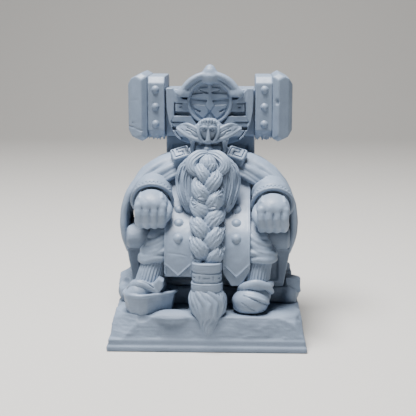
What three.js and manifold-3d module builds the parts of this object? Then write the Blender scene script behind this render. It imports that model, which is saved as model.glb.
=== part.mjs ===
// Seated dwarf king on a hammer-backed throne: a resin miniature for tabletop games, about 45 mm tall.
// Millimetres, +Z up, the figure looks along -Y, the origin is the centre of the base's underside.
// Each sculpted piece is its own closed solid. A piece is cut back by every piece listed before it,
// grown by the glue gap, so neighbours nest into each other without touching.
import * as THREE from 'three';
import { mergeVertices } from 'three/addons/utils/BufferGeometryUtils.js';
import Module from 'manifold-3d';

const wasm = await Module();
wasm.setup();

// ---------------------------------------------------------------- driving dimensions, mm
const GLUE_GAP = 0.25;
const FACET = 0.1;

// base
const BASE_WIDTH = 32;
const BASE_DEPTH = 30;
const SLAB_THICK = 2;
const LEDGE_RISE = 3.6;
const DAIS_RISE = 2.8;
const LIP = 0.45;
const ROCK_BATTER = 0.9;
const LEDGE_DEPTH = 7.4;
const CORNER_START = 9.8;
const CORNER_SET_BACK = 0.15;

// throne
const SEAT_WIDTH = 25;
const SEAT_DEPTH = 16.5;
const SEAT_RISE = 6.6;
const SEAT_FLARE = 1.1;
const ARMREST_RISE = 3.8;
const ARMREST_WIDTH = 4.7;
const ARMREST_REACH = 2.8;
const BACK_WIDTH = 15.3;
const BACK_THICK = 6;
const BACK_RISE = 17.5;

// hammer head that tops the throne
const CORE_HEIGHT = 8;
const CORE_DEPTH = 8.8;
const COLLAR_LENGTH = 2.9;
const COLLAR_HEIGHT = 10.2;
const COLLAR_DEPTH = 11.6;
const FACE_LENGTH = 3.4;
const FACE_HEIGHT = 11.6;
const FACE_DEPTH = 13;
const FACE_BEVEL = 1.3;
const HAMMER_CHAMFER = 1.1;
const RIVET_RADIUS = 0.75;
const RIVET_HEIGHT = 0.55;

// round crest on the front of the hammer head
const CREST_RADIUS = 8;
const CREST_THICK = 1.2;
const MEDALLION_RADIUS = 3.65;
const MEDALLION_THICK = 1.5;
const ARCH_INNER = 3.95;
const ARCH_WIDTH = 1.2;
const ARCH_THICK = 2.4;
const FINIAL_HEIGHT = 1.2;

// figure
const HEAD_WIDTH = 6.6;
const HEAD_HEIGHT = 6.4;
const HELMET_WALL = 0.6;
const TORSO_WIDTH = 14;
const BELLY_REACH = 7.6;
const BEARD_WIDTH = 11.2;
const BRAID_WIDTH = 5.1;
const RING_WIDTH = 5;
const TUFT_WIDTH = 5.8;
const STRAP_WIDTH = 4.5;
const STRAP_THICK = 0.8;
const STRAP_OFFSET = 4.65;
const FIST_WIDTH = 6.1;
const SLEEVE_RADIUS = 3.1;
const CUFF_RADIUS = 3.55;
const CUFF_LENGTH = 1.5;
const SHIN_RADIUS = 2;
const SHOE_WIDTH = 5.4;
const CLOAK_THICK = 1.1;

// ---------------------------------------------------------------- levels and planes worked out from them
const LEDGE_TOP = SLAB_THICK + LEDGE_RISE;
const DAIS_TOP = LEDGE_TOP + DAIS_RISE;
const SEAT_TOP = DAIS_TOP + SEAT_RISE;
const ARMREST_TOP = SEAT_TOP + ARMREST_RISE;
const HAMMER_BOTTOM = SEAT_TOP + BACK_RISE;
const BACK_FRONT = 5;
const BACK_REAR = BACK_FRONT + BACK_THICK;
const CORE_FRONT = BACK_REAR + 1 - CORE_DEPTH;
const CREST_FRONT = CORE_FRONT - CREST_THICK;
const CREST_MID = HAMMER_BOTTOM + 5.9;
const DAIS_FRONT = LEDGE_DEPTH - BASE_DEPTH / 2;
const SEAT_FRONT = BACK_REAR - SEAT_DEPTH;
const CHIN_TOP = HAMMER_BOTTOM - 1.5;
const HEAD_MID = CHIN_TOP + 1.7;
const LAP = SEAT_TOP + 3.6;

// ---------------------------------------------------------------- solids
// A closed three.js geometry as a manifold-3d solid.
function solidOf(geometry) {
  const bare = geometry.index ? geometry.toNonIndexed() : geometry.clone();
  bare.deleteAttribute('normal');
  bare.deleteAttribute('uv');
  const merged = mergeVertices(bare, 1e-4);
  const corners = merged.index.array;
  const kept = [];
  for (let i = 0; i < corners.length; i += 3) {
    const [a, b, c] = corners.slice(i, i + 3);
    if (a !== b && b !== c && c !== a) kept.push(a, b, c);
  }
  return new wasm.Manifold(new wasm.Mesh({
    numProp: 3,
    vertProperties: merged.attributes.position.array,
    triVerts: new Uint32Array(kept),
  }));
}

// A box from its low and high corners.
function block(low, high, grow = 0) {
  const size = high.map((h, i) => h - low[i] + 2 * grow);
  const mid = high.map((h, i) => (h + low[i]) / 2);
  return solidOf(new THREE.BoxGeometry(...size).translate(...mid));
}

// A block whose four sides lean in or out: half sizes [x, y] at its foot and at its top.
function frustum(foot, low, top, high, midY, grow = 0) {
  const box = new THREE.BoxGeometry(1, 1, 1);
  const spot = box.attributes.position;
  for (let i = 0; i < spot.count; i++) {
    const upper = spot.getZ(i) > 0;
    const half = upper ? high : low;
    spot.setXYZ(i, spot.getX(i) * 2 * (half[0] + grow), spot.getY(i) * 2 * (half[1] + grow) + midY,
      upper ? top + grow : foot - grow);
  }
  return solidOf(box);
}

// An ellipsoid.
function blob(centre, radii, grow = 0, sides = 12) {
  const ball = new THREE.SphereGeometry(1, sides, Math.round(sides * 0.7));
  ball.scale(...radii.map((r) => r + grow)).translate(...centre);
  return solidOf(ball);
}

// A limb: a round or squared tube through stations [x, y, z, halfWidth, halfDepth].
// halfWidth is measured along `across`, halfDepth at right angles to that and to the path.
// `axis` keeps every ring square to one direction instead of square to the path.
function limb(stations, grow = 0, { sides = 10, steps = 2, across = [1, 0, 0], power = 2, axis } = {}) {
  const path = new THREE.CatmullRomCurve3(stations.map(([x, y, z]) => new THREE.Vector3(x, y, z)));
  const girth = new THREE.CatmullRomCurve3(stations.map(([, , , w, d]) => new THREE.Vector3(w, d, 0)));
  const skin = new THREE.CylinderGeometry(1, 1, 1, sides, steps * (stations.length - 1));
  const spot = skin.attributes.position;
  const wanted = new THREE.Vector3(...across);
  for (let i = 0; i < spot.count; i++) {
    const t = THREE.MathUtils.clamp(0.5 - spot.getY(i), 0, 1);
    const centre = path.getPoint(t);
    const along = axis ? new THREE.Vector3(...axis).normalize() : path.getTangent(t);
    const wide = wanted.clone().addScaledVector(along, -wanted.dot(along)).normalize();
    const deep = along.clone().cross(wide);
    const half = girth.getPoint(t);
    const round = (v) => (Math.abs(v) < 1e-6 ? 0 : Math.sign(v) * Math.abs(v) ** (2 / power));
    centre.addScaledVector(wide, round(spot.getX(i)) * (half.x + grow));
    centre.addScaledVector(deep, round(spot.getZ(i)) * (half.y + grow));
    if (t === 0) centre.addScaledVector(along, -grow);
    if (t === 1) centre.addScaledVector(along, grow);
    spot.setXYZ(i, centre.x, centre.y, centre.z);
  }
  return solidOf(skin);
}

// A flat outline [[x, z], ...] in the front view, given thickness from y = front to y = rear.
function frontPlate(outline, front, rear, grow = 0, bevel = 0) {
  const shape = new THREE.Shape(outline.map(([x, z]) => new THREE.Vector2(x, z)));
  const plate = new THREE.ExtrudeGeometry(shape, {
    depth: rear - front - 2 * bevel,
    bevelEnabled: bevel + grow > 0,
    bevelThickness: bevel + grow,
    bevelSize: bevel + grow,
    bevelOffset: -bevel,
    bevelSegments: 1,
  });
  return solidOf(plate.rotateX(Math.PI / 2).translate(0, rear - bevel, 0));
}

// A flat outline [[y, z], ...] in the side view, given width from x = left to x = right.
function sidePlate(outline, left, right, grow = 0, bevel = 0) {
  const shape = new THREE.Shape(outline.map(([y, z]) => new THREE.Vector2(y, z)));
  const plate = new THREE.ExtrudeGeometry(shape, {
    depth: right - left - 2 * bevel,
    bevelEnabled: bevel + grow > 0,
    bevelThickness: bevel + grow,
    bevelSize: bevel + grow,
    bevelOffset: -bevel,
    bevelSegments: 1,
  });
  return solidOf(plate.rotateX(Math.PI / 2).rotateZ(Math.PI / 2).translate(left + bevel, 0, 0));
}

// A rivet's domed head, facing -Y or tipped up by `tilt`, its flat face centred on `seat`.
function rivet(seat, tilt = 0, grow = 0) {
  const profile = [];
  for (let i = 0; i <= 4; i++) {
    const a = (i / 4) * (Math.PI / 2);
    profile.push(new THREE.Vector2(Math.cos(a) * (RIVET_RADIUS + grow), Math.sin(a) * (RIVET_HEIGHT + grow)));
  }
  profile.unshift(new THREE.Vector2(0, 0));
  profile[profile.length - 1].x = 0;
  const dome = new THREE.LatheGeometry(profile, 12);
  return solidOf(dome.rotateX(Math.PI - tilt).translate(...seat));
}

// An arc of points [x, z] about a centre, from one angle to another, in radians.
function arc(cx, cz, rx, rz, from, to, count) {
  return Array.from({ length: count + 1 }, (_, i) => {
    const a = from + ((to - from) * i) / count;
    return [cx + rx * Math.cos(a), cz + rz * Math.sin(a)];
  });
}

// ---------------------------------------------------------------- base
const HALF_W = BASE_WIDTH / 2;
const HALF_D = BASE_DEPTH / 2;

function base(grow = 0) {
  const lip = frustum(0, [HALF_W - 0.1, HALF_D - 0.1], SLAB_THICK * 0.4, [HALF_W, HALF_D], 0, grow);
  const rim = frustum(SLAB_THICK * 0.4, [HALF_W, HALF_D], SLAB_THICK, [HALF_W - 0.2, HALF_D - 0.2], 0, grow);
  const rock = frustum(SLAB_THICK, [HALF_W - LIP, HALF_D - LIP],
    LEDGE_TOP, [HALF_W - LIP - ROCK_BATTER, HALF_D - LIP - ROCK_BATTER], 0, grow);
  const chips = [[-11.5, -0.35, 2.6], [-1, -0.2, 3.2], [9.5, -0.5, 3.6]].map(([x, drop, size]) =>
    blob([x, 0.4 - HALF_D, LEDGE_TOP + 0.9 + drop], [size, 2, 1.4], -grow, 8));
  return chips.reduce((body, chip) => body.subtract(chip), lip.add(rim).add(rock));
}

function dais(grow = 0) {
  const mid = (DAIS_FRONT + HALF_D - LIP) / 2;
  const deep = (HALF_D - LIP - DAIS_FRONT) / 2;
  const half = HALF_W - LIP - 0.8;
  const step = frustum(LEDGE_TOP, [half, deep - 1], DAIS_TOP, [half - 0.6, deep - 1.4], mid - 0.3, grow);
  return [-1, 1].reduce((body, side) => {
    const [left, right] = [side * CORNER_START, side * HALF_W].sort((a, b) => a - b);
    return body.subtract(block([left, -HALF_D, 0], [right, SEAT_FRONT - CORNER_SET_BACK, SEAT_TOP], -grow));
  }, step);
}

// A boulder lying on the dais beside the throne.
function boulder(side, grow = 0) {
  const rise = side > 0 ? 1.3 : 1.1;
  const z = DAIS_TOP + 0.3;
  return limb([
    [side * (HALF_W - 2.7), SEAT_FRONT, z, 2.1, rise], [side * (HALF_W - 2.6), -2, z, 2, rise],
    [side * (HALF_W - 2.6), 3, z, 1.6, rise * 0.5]], grow, { sides: 8, power: 3 });
}

// ---------------------------------------------------------------- throne
function throneSeat(grow = 0) {
  const mid = (SEAT_FRONT + BACK_REAR) / 2;
  const [wide, deep] = [SEAT_WIDTH / 2, SEAT_DEPTH / 2];
  return frustum(DAIS_TOP, [wide, deep], SEAT_TOP, [wide + SEAT_FLARE, deep], mid, grow);
}

function armrest(side, grow = 0) {
  const outer = SEAT_WIDTH / 2 + SEAT_FLARE - 0.2;
  const x = side * (outer - ARMREST_WIDTH / 2);
  const front = SEAT_FRONT - ARMREST_REACH;
  const mid = SEAT_TOP + ARMREST_RISE / 2;
  const tall = ARMREST_RISE / 2;
  const wide = ARMREST_WIDTH / 2;
  return limb([
    [x, front, mid, wide * 0.8, tall * 0.8], [x, front + 0.8, mid, wide, tall],
    [x, BACK_FRONT + 1, mid, wide, tall]], grow, { power: 4, sides: 12, steps: 1 });
}

function throneBack(grow = 0) {
  const half = BACK_WIDTH / 2;
  return block([-half, BACK_FRONT, SEAT_TOP], [half, BACK_REAR, HAMMER_BOTTOM], grow);
}

// ---------------------------------------------------------------- hammer head
const CORE_HALF = BACK_WIDTH / 2;
const CORE_REAR = CORE_FRONT + CORE_DEPTH;
const HEAD_CENTRE_Y = (CORE_FRONT + CORE_REAR) / 2;

// A square with cut corners in the side view.
function chamferedSquare(deep, tall, midZ, chamfer) {
  const y = deep / 2;
  const z = tall / 2;
  const c = chamfer;
  return [[-y + c, -z], [y - c, -z], [y, -z + c], [y, z - c], [y - c, z], [-y + c, z], [-y, z - c], [-y, -z + c]]
    .map(([a, b]) => [HEAD_CENTRE_Y + a, midZ + b]);
}

function hammerCore(grow = 0) {
  return block([-CORE_HALF, CORE_FRONT, HAMMER_BOTTOM], [CORE_HALF, CORE_REAR, HAMMER_BOTTOM + CORE_HEIGHT], grow);
}

const COLLAR_MID = HAMMER_BOTTOM + COLLAR_HEIGHT / 2;
const COLLAR_OUTER = CORE_HALF + COLLAR_LENGTH;

function hammerCollar(side, grow = 0) {
  const section = chamferedSquare(COLLAR_DEPTH, COLLAR_HEIGHT, COLLAR_MID, HAMMER_CHAMFER);
  const [left, right] = [side * CORE_HALF, side * COLLAR_OUTER].sort((a, b) => a - b);
  return sidePlate(section, left, right, grow);
}

function hammerFace(side, grow = 0) {
  const rows = [
    [COLLAR_OUTER, 0.65], [COLLAR_OUTER + 1, 0], [COLLAR_OUTER + 2.8, FACE_BEVEL * 0.75],
    [COLLAR_OUTER + FACE_LENGTH, FACE_BEVEL * 1.7]];
  const stations = rows.map(([x, b]) => [x * side, HEAD_CENTRE_Y, COLLAR_MID - 0.1, FACE_DEPTH / 2 - b, FACE_HEIGHT / 2 - b]);
  const turn = { across: [0, 1, 0], power: 9, sides: 20, steps: 1 };
  const straight = stations.slice(0, -1).map((low, i) => limb([low, stations[i + 1]], grow, turn));
  return straight.reduce((body, more) => body.add(more));
}

const COLLAR_FRONT = HEAD_CENTRE_Y - COLLAR_DEPTH / 2;
const RIVET_PITCH = 2.9;

function collarRivet(side, row, grow = 0) {
  const x = side * (CORE_HALF + COLLAR_LENGTH / 2 + 0.1);
  return rivet([x, COLLAR_FRONT, COLLAR_MID + row * RIVET_PITCH], 0, grow);
}

// ---------------------------------------------------------------- crest
function crestMedallion(grow = 0) {
  return frontPlate(arc(0, CREST_MID, MEDALLION_RADIUS, MEDALLION_RADIUS, 0, Math.PI * 2, 28).slice(0, -1),
    CORE_FRONT - MEDALLION_THICK, CORE_FRONT, grow, 0.2);
}

function crestArch(grow = 0) {
  const outer = ARCH_INNER + ARCH_WIDTH;
  const flare = 0.75;
  const from = 0.36;
  const band = [
    ...arc(0, CREST_MID, outer + flare, outer, from, Math.PI - from, 18),
    ...arc(0, CREST_MID, ARCH_INNER, ARCH_INNER, Math.PI - from, from, 18),
  ];
  const rear = CORE_FRONT + 1;
  const arch = frontPlate(band, rear - ARCH_THICK - 1, rear, grow, 0.25);
  const tip = CREST_MID + outer + FINIAL_HEIGHT;
  const finial = frontPlate([[-1.3, tip - 1.5], [1.3, tip - 1.5], [0.45, tip - 0.1], [0, tip], [-0.45, tip - 0.1]],
    rear - ARCH_THICK - 0.6, rear, grow);
  return arch.add(finial);
}

// One of the two pierced plates beside the medallion: an outer rim, a top corner and squared key bars.
function crestPlate(side, grow = 0) {
  const edge = BACK_WIDTH / 2 - 0.05;
  const inner = MEDALLION_RADIUS + GLUE_GAP;
  const low = -1.18;
  const rimEnd = Math.acos(edge / CREST_RADIUS);
  const rim = arc(0, 0, CREST_RADIUS, CREST_RADIUS, low, -rimEnd, 7);
  const back = arc(0, 0, inner, inner, 0.25, low, 6);
  const outline = [...rim, [edge, 2.4], [edge - 1.5, 2.4], [inner + 0.35, 0.9], ...back]
    .map(([x, z]) => [x * side, CREST_MID + z]);
  if (side < 0) outline.reverse();
  const plate = frontPlate(outline, CREST_FRONT, CORE_FRONT, grow);
  const slots = [[4.3, -1.75, 1.9, 0.75], [5.3, -3.9, 1.2, 0.5]].map(([x, z, long, tall]) => {
    const [left, right] = [side * x, side * (x + long)].sort((a, b) => a - b);
    return block([left, CREST_FRONT - 1, CREST_MID + z], [right, CORE_FRONT + 1, CREST_MID + z + tall], -grow * 0.9);
  });
  return slots.reduce((body, slot) => body.subtract(slot), plate);
}

// ---------------------------------------------------------------- head and helmet
const FACE_FRONT = -5.2;
const HEAD_Y = -1.75;

function head(grow = 0) {
  const skull = blob([0, HEAD_Y, HEAD_MID], [HEAD_WIDTH / 2 - HELMET_WALL, 3.1, HEAD_HEIGHT / 2 - HELMET_WALL], grow);
  const nose = blob([0, FACE_FRONT - 0.2, CHIN_TOP + 0.45], [0.9, 1.1, 0.75], grow, 10);
  return skull.add(nose);
}

function helmet(grow = 0) {
  const dome = blob([0, HEAD_Y, HEAD_MID], [HEAD_WIDTH / 2, 3.65, HEAD_HEIGHT / 2], grow, 14);
  if (grow > 0) return dome;
  const cavity = head(GLUE_GAP * 0.6);
  const face = block([-2.3, -9, CHIN_TOP - 6], [2.3, -3.4, CHIN_TOP + 0.95]);
  const neck = block([-9, -9, CHIN_TOP - 9], [9, 9, CHIN_TOP - 1]);
  return dome.subtract(cavity).subtract(face).subtract(neck);
}

function helmetMask(grow = 0) {
  const mid = CHIN_TOP + 3.2;
  const outline = [[-0.7, -1.9], [0.7, -1.9], [1.7, -0.7], [1.9, 0.6], [1.2, 1.5], [0, 2.1], [-1.2, 1.5], [-1.9, 0.6], [-1.7, -0.7]]
    .map(([x, z]) => [x, mid + z]);
  return frontPlate(outline, FACE_FRONT - 1.3, FACE_FRONT + 0.7, grow, 0.25);
}

function helmetWing(side, grow = 0) {
  const z = CHIN_TOP + 2.7;
  return limb([
    [side * 1.6, FACE_FRONT - 0.4, z - 0.3, 0.85, 0.5], [side * 3.3, -3.9, z + 0.1, 1.3, 0.5],
    [side * 4.9, -1.6, z + 0.8, 1.2, 0.4], [side * 6, 0.4, z + 1.6, 0.6, 0.3]],
  grow, { across: [0, 0, 1], sides: 10 });
}

// ---------------------------------------------------------------- beard
const BEARD_MID = CHIN_TOP - 4.1;
const RING_TOP = SEAT_TOP - 0.95;
const RING_BOTTOM = RING_TOP - 4.15;

function moustache(side, grow = 0) {
  return limb([
    [side * 0.35, -6.5, CHIN_TOP - 0.1, 0.5, 0.5], [side * 1.5, -7.4, CHIN_TOP - 0.9, 0.9, 0.8],
    [side * 2.6, -7.6, CHIN_TOP - 2, 0.85, 0.75], [side * 2.9, -7.7, CHIN_TOP - 3.1, 0.4, 0.4]],
  grow, { across: [0, -1, 0.4], sides: 10 });
}

function chinTuft(grow = 0) {
  return blob([0, -8.2, CHIN_TOP - 1.9], [1.25, 0.95, 1.4], grow, 12);
}

function braid(grow = 0) {
  const half = BRAID_WIDTH / 2;
  return limb([
    [0, -8.1, CHIN_TOP - 2.5, half * 0.55, 0.8], [0, -9.2, BEARD_MID - 0.5, half * 0.9, 1.1],
    [0, -9.9, BEARD_MID - 5.2, half, 1.25], [0, -11.4, LAP + 0.2, half, 1.25],
    [0, -12, SEAT_TOP + 1.2, half, 1.2], [0, -12.1, RING_TOP + GLUE_GAP, half * 0.85, 1.1]],
  grow);
}

function beardRing(grow = 0) {
  const half = RING_WIDTH / 2;
  const step = (RING_TOP - RING_BOTTOM) / 8;
  const widths = [1, 1, 0.9, 0.9, 0.93, 0.93, 0.9, 1.04, 1.04];
  return limb(widths.map((w, i) => [0, -12.2 - i * 0.06, RING_TOP - i * step, half * w, 1.75 * w]),
    grow, { sides: 12, steps: 1, power: 2.6 });
}

function beardTuft(grow = 0) {
  const half = TUFT_WIDTH / 2;
  const top = RING_BOTTOM - GLUE_GAP;
  return limb([
    [0, -12.6, top, half * 0.75, 1.5], [0, -12.75, top - 1.9, half, 1.9], [0, -13.1, top - 3.9, half * 0.75, 1.5],
    [-0.1, -13.9, top - 5.6, half * 0.42, 0.8], [-0.15, -14.2, top - 7.3, half * 0.16, 0.45]], grow);
}

function beard(grow = 0) {
  const half = BEARD_WIDTH / 2;
  return limb([
    [0, -4.9, CHIN_TOP, half * 0.42, 1], [0, -5.4, CHIN_TOP - 1.4, half * 0.78, 2.1],
    [0, -6, BEARD_MID, half, 2.5], [0, -6.8, BEARD_MID - 3, half * 0.86, 2.3],
    [0, -7.6, BEARD_MID - 5.8, half * 0.5, 1.6], [0, -7.9, BEARD_MID - 6.9, half * 0.3, 0.9]],
  grow, { sides: 12 });
}

// ---------------------------------------------------------------- robe and straps
// The side view of the surface that the straps lie on: down the chest, out over the lap and down to the shins.
const STRAP_LINE = [
  [-3.6, CHIN_TOP - 4], [-5.2, BEARD_MID - 2.6], [-7.1, LAP + 3.1], [-9.1, LAP + 1.4], [-10.8, LAP + 0.1],
  [-11.25, SEAT_TOP + 1.4], [-11.35, SEAT_TOP - 1.6], [-11.35, SEAT_TOP - 5.4]];
const STRAP_TIP_LEFT = SEAT_TOP - 3.65;
const STRAP_TIP_RIGHT = SEAT_TOP - 5.1;

function strap(side, grow = 0) {
  const spine = new THREE.CatmullRomCurve3(STRAP_LINE.map(([y, z]) => new THREE.Vector3(0, y, z)));
  const outer = [];
  const inner = [];
  for (let i = 0; i <= 16; i++) {
    const at = spine.getPoint(i / 16);
    const along = spine.getTangent(i / 16);
    outer.push([at.y, at.z]);
    inner.unshift([at.y - along.z * STRAP_THICK, at.z + along.y * STRAP_THICK]);
  }
  const wide = STRAP_WIDTH / 2;
  const x = side * STRAP_OFFSET;
  const band = sidePlate([...outer, ...inner], x - wide, x + wide, grow);
  const tip = side < 0 ? STRAP_TIP_LEFT : STRAP_TIP_RIGHT;
  const shoulder = side < 0 ? STRAP_TIP_LEFT : STRAP_TIP_RIGHT + 2.4;
  const flat = side < 0 ? wide : wide * 0.3;
  const top = CHIN_TOP + 1;
  const outline = [[-flat, tip], [flat, tip], [wide, shoulder], [wide, top], [-wide, top], [-wide, shoulder]];
  const distinct = side < 0 ? [[-wide, tip], [wide, tip], [wide, top], [-wide, top]] : outline;
  return band.intersect(frontPlate(distinct.map(([a, z]) => [x + a, z]), -20, 5, grow));
}

function strapRivet(side, row, grow = 0) {
  const rows = [[-6.95, LAP + 3.25, 0.75], [-9.2, LAP + 1.33, 0.8], [-11.12, SEAT_TOP + 2.6, 0.15]];
  const [y, z, tilt] = rows[row];
  return rivet([side * STRAP_OFFSET, y - 0.05, z], tilt, grow);
}

function robe(grow = 0) {
  const half = TORSO_WIDTH / 2;
  const reach = BELLY_REACH;
  const torso = limb([
    [0, -0.6, SEAT_TOP + GLUE_GAP, half * 0.95, 4.6], [0, -1.6, LAP + 1, half, reach - 1.9],
    [0, -1.2, BEARD_MID - 2, half * 0.95, 4.9], [0, -0.6, BEARD_MID + 1, half * 0.85, 3.7],
    [0, -0.9, CHIN_TOP - 1.6, half * 0.4, 2.3]], grow, { sides: 12 });
  const leg = (side) => limb([
    [side * 4.6, -1, SEAT_TOP + 2.9, 3.4, 2.6], [side * 6.6, -6, SEAT_TOP + 2.7, 3.6, 2.7],
    [side * 7.6, -8.6, SEAT_TOP + 1.4, 3.5, 2.6], [side * 8.1, -9.1, SEAT_TOP - 1.4, 3.3, 2.2]],
  grow);
  const apron = block([-5.4, -9.8, SEAT_TOP - 0.4], [5.4, -2, SEAT_TOP + 3.4], grow);
  return torso.add(leg(-1)).add(leg(1)).add(apron);
}

// ---------------------------------------------------------------- arms
const ARMS = {
  left: { side: -1, elbow: [-9.1, -1.9, 25], wrist: [-9.15, -5.6, 24], fist: [-9.05, -9, 21.95] },
  right: { side: 1, elbow: [9.7, -1.9, 24.9], wrist: [10.45, -5.6, 23.5], fist: [10.5, -9, 21.4] },
};
const SHOULDER = [6.8, 0.4, 26.3];

// A point on the line from the wrist towards the fist, a given distance along it.
function pastWrist({ wrist, fist }, distance) {
  const from = new THREE.Vector3(...wrist);
  const to = new THREE.Vector3(...fist);
  return from.add(to.sub(from).setLength(distance)).toArray();
}

function sleeve(arm, grow = 0) {
  const start = [arm.side * SHOULDER[0], SHOULDER[1], SHOULDER[2]];
  const r = SLEEVE_RADIUS;
  return limb([[...start, r * 0.9, r * 0.85], [...arm.elbow, r, r], [...arm.wrist, r * 1.03, r * 1.03]],
    grow, { sides: 12, steps: 3 });
}

function cuff(arm, grow = 0) {
  const r = CUFF_RADIUS;
  const [near, far] = [GLUE_GAP, GLUE_GAP + CUFF_LENGTH].map((d) => pastWrist(arm, d));
  return limb([[...near, r * 0.93, r * 0.93], [...far, r, r]], grow, { sides: 14, steps: 1 });
}

function fist(arm, grow = 0) {
  const r = FIST_WIDTH / 2;
  const start = pastWrist(arm, 2 * GLUE_GAP + CUFF_LENGTH);
  const end = pastWrist(arm, 6.2);
  return limb([[...start, r * 0.86, r * 0.86], [...arm.fist, r, r * 0.98], [...end, r * 0.62, r * 0.7]],
    grow, { sides: 12, steps: 3, power: 2.5 });
}

// ---------------------------------------------------------------- legs
const LEGS = {
  left: {
    shin: [[-8.5, -8.7, SEAT_TOP - 1], [-8.8, -9, SEAT_TOP - 3], [-9.2, -9.6, DAIS_TOP + 2.3]],
    cuff: [[-9.3, -9.7, DAIS_TOP + 2.15], [-9.9, -10.1, DAIS_TOP + 0.8]],
    shoe: [[-6.4, -8.2, 1.7, 1.5], [-8.6, -9.8, 2.4, 2.1], [-10.8, -11, 2.7, 2.3], [-12, -11.9, 2.1, 1.9], [-12.6, -12.4, 1.2, 1.2]],
    sole: LEDGE_TOP - 0.15,
  },
  right: {
    shin: [[8, -8.7, SEAT_TOP - 1], [8.1, -8.9, SEAT_TOP - 3], [8.1, -9.2, DAIS_TOP + 2.4]],
    cuff: [[8.1, -9.4, DAIS_TOP + 2.25], [7.9, -9.7, DAIS_TOP + 0.9]],
    shoe: [[8.3, -7.4, 2, 1.7], [7.8, -9.4, 2.7, 2.1], [7.2, -11.4, 3, 2], [6.9, -12.6, 2.3, 1.6], [6.8, -13.2, 1.2, 1]],
    sole: LEDGE_TOP + 0.1,
  },
};

function shin(leg, grow = 0) {
  return limb(leg.shin.map((at, i) => [...at, SHIN_RADIUS * (1 + 0.04 * i), SHIN_RADIUS]), grow);
}

function bootCuff(leg, grow = 0) {
  const [top, bottom] = leg.cuff;
  return limb([[...top, SHIN_RADIUS * 1.2, SHIN_RADIUS * 1.15], [...bottom, SHIN_RADIUS * 1.35, SHIN_RADIUS * 1.3]],
    grow, { sides: 16, steps: 2 });
}

function shoe(leg, grow = 0) {
  const spread = SHOE_WIDTH / 5.4;
  const stations = leg.shoe.map(([x, y, wide, tall]) => [x, y, leg.sole + tall, wide * spread, tall]);
  const [heel, toe] = [stations[0], stations[stations.length - 1]];
  const axis = [toe[0] - heel[0], toe[1] - heel[1], 0];
  return limb(stations, grow, { power: 2.4, axis });
}

// ---------------------------------------------------------------- cloak
function cloak(side, grow = 0) {
  const half = CLOAK_THICK / 2;
  return limb([
    [side * 3.2, 2, 29, 2.4, half], [side * 6.6, 1.2, 28.9, 3.4, half * 1.2],
    [side * 10, 0.4, 27.3, 4.2, half * 1.1], [side * 12.8, -0.4, 24.2, 4.8, half],
    [side * 14, -0.6, 20.6, 4.9, half], [side * 13.9, -0.4, 17, 4.8, half], [side * 13.2, 0, 14.3, 4.4, half]],
  grow, { across: [0, 1, 0], power: 3 });
}

function clasp(side, grow = 0) {
  return limb([
    [side * 3.7, -4.1, CHIN_TOP - 0.35, 1, 0.85], [side * 4.8, -3.6, CHIN_TOP - 1.1, 1.15, 1.1],
    [side * 6, -3, CHIN_TOP - 2.1, 1, 0.9]],
  grow, { across: [0, -0.5, 1], sides: 12, power: 4 });
}

// ---------------------------------------------------------------- finish and assembly
// Everything is the same bare grey resin; only the fineness of the print differs from piece to piece.
const RESIN = 0x96a3b4;
const stone = { color: RESIN, roughness: 0.7, metalness: 0 };
const metal = { color: RESIN, roughness: 0.5, metalness: 0 };
const cloth = { color: RESIN, roughness: 0.6, metalness: 0 };
const skin = { color: RESIN, roughness: 0.5, metalness: 0 };
const hair = { color: RESIN, roughness: 0.55, metalness: 0 };
const leather = { color: RESIN, roughness: 0.5, metalness: 0 };

// Pieces that stand on each other face to face, and so aren't cut back by each other.
const STACK = new Set([
  'base', 'dais', 'throne_seat', 'throne_back', 'hammer_core',
  'hammer_collar_left', 'hammer_collar_right', 'hammer_face_left', 'hammer_face_right']);
const CREST = new Set(['hammer_core', 'crest_medallion', 'crest_plate_left', 'crest_plate_right']);

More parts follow.
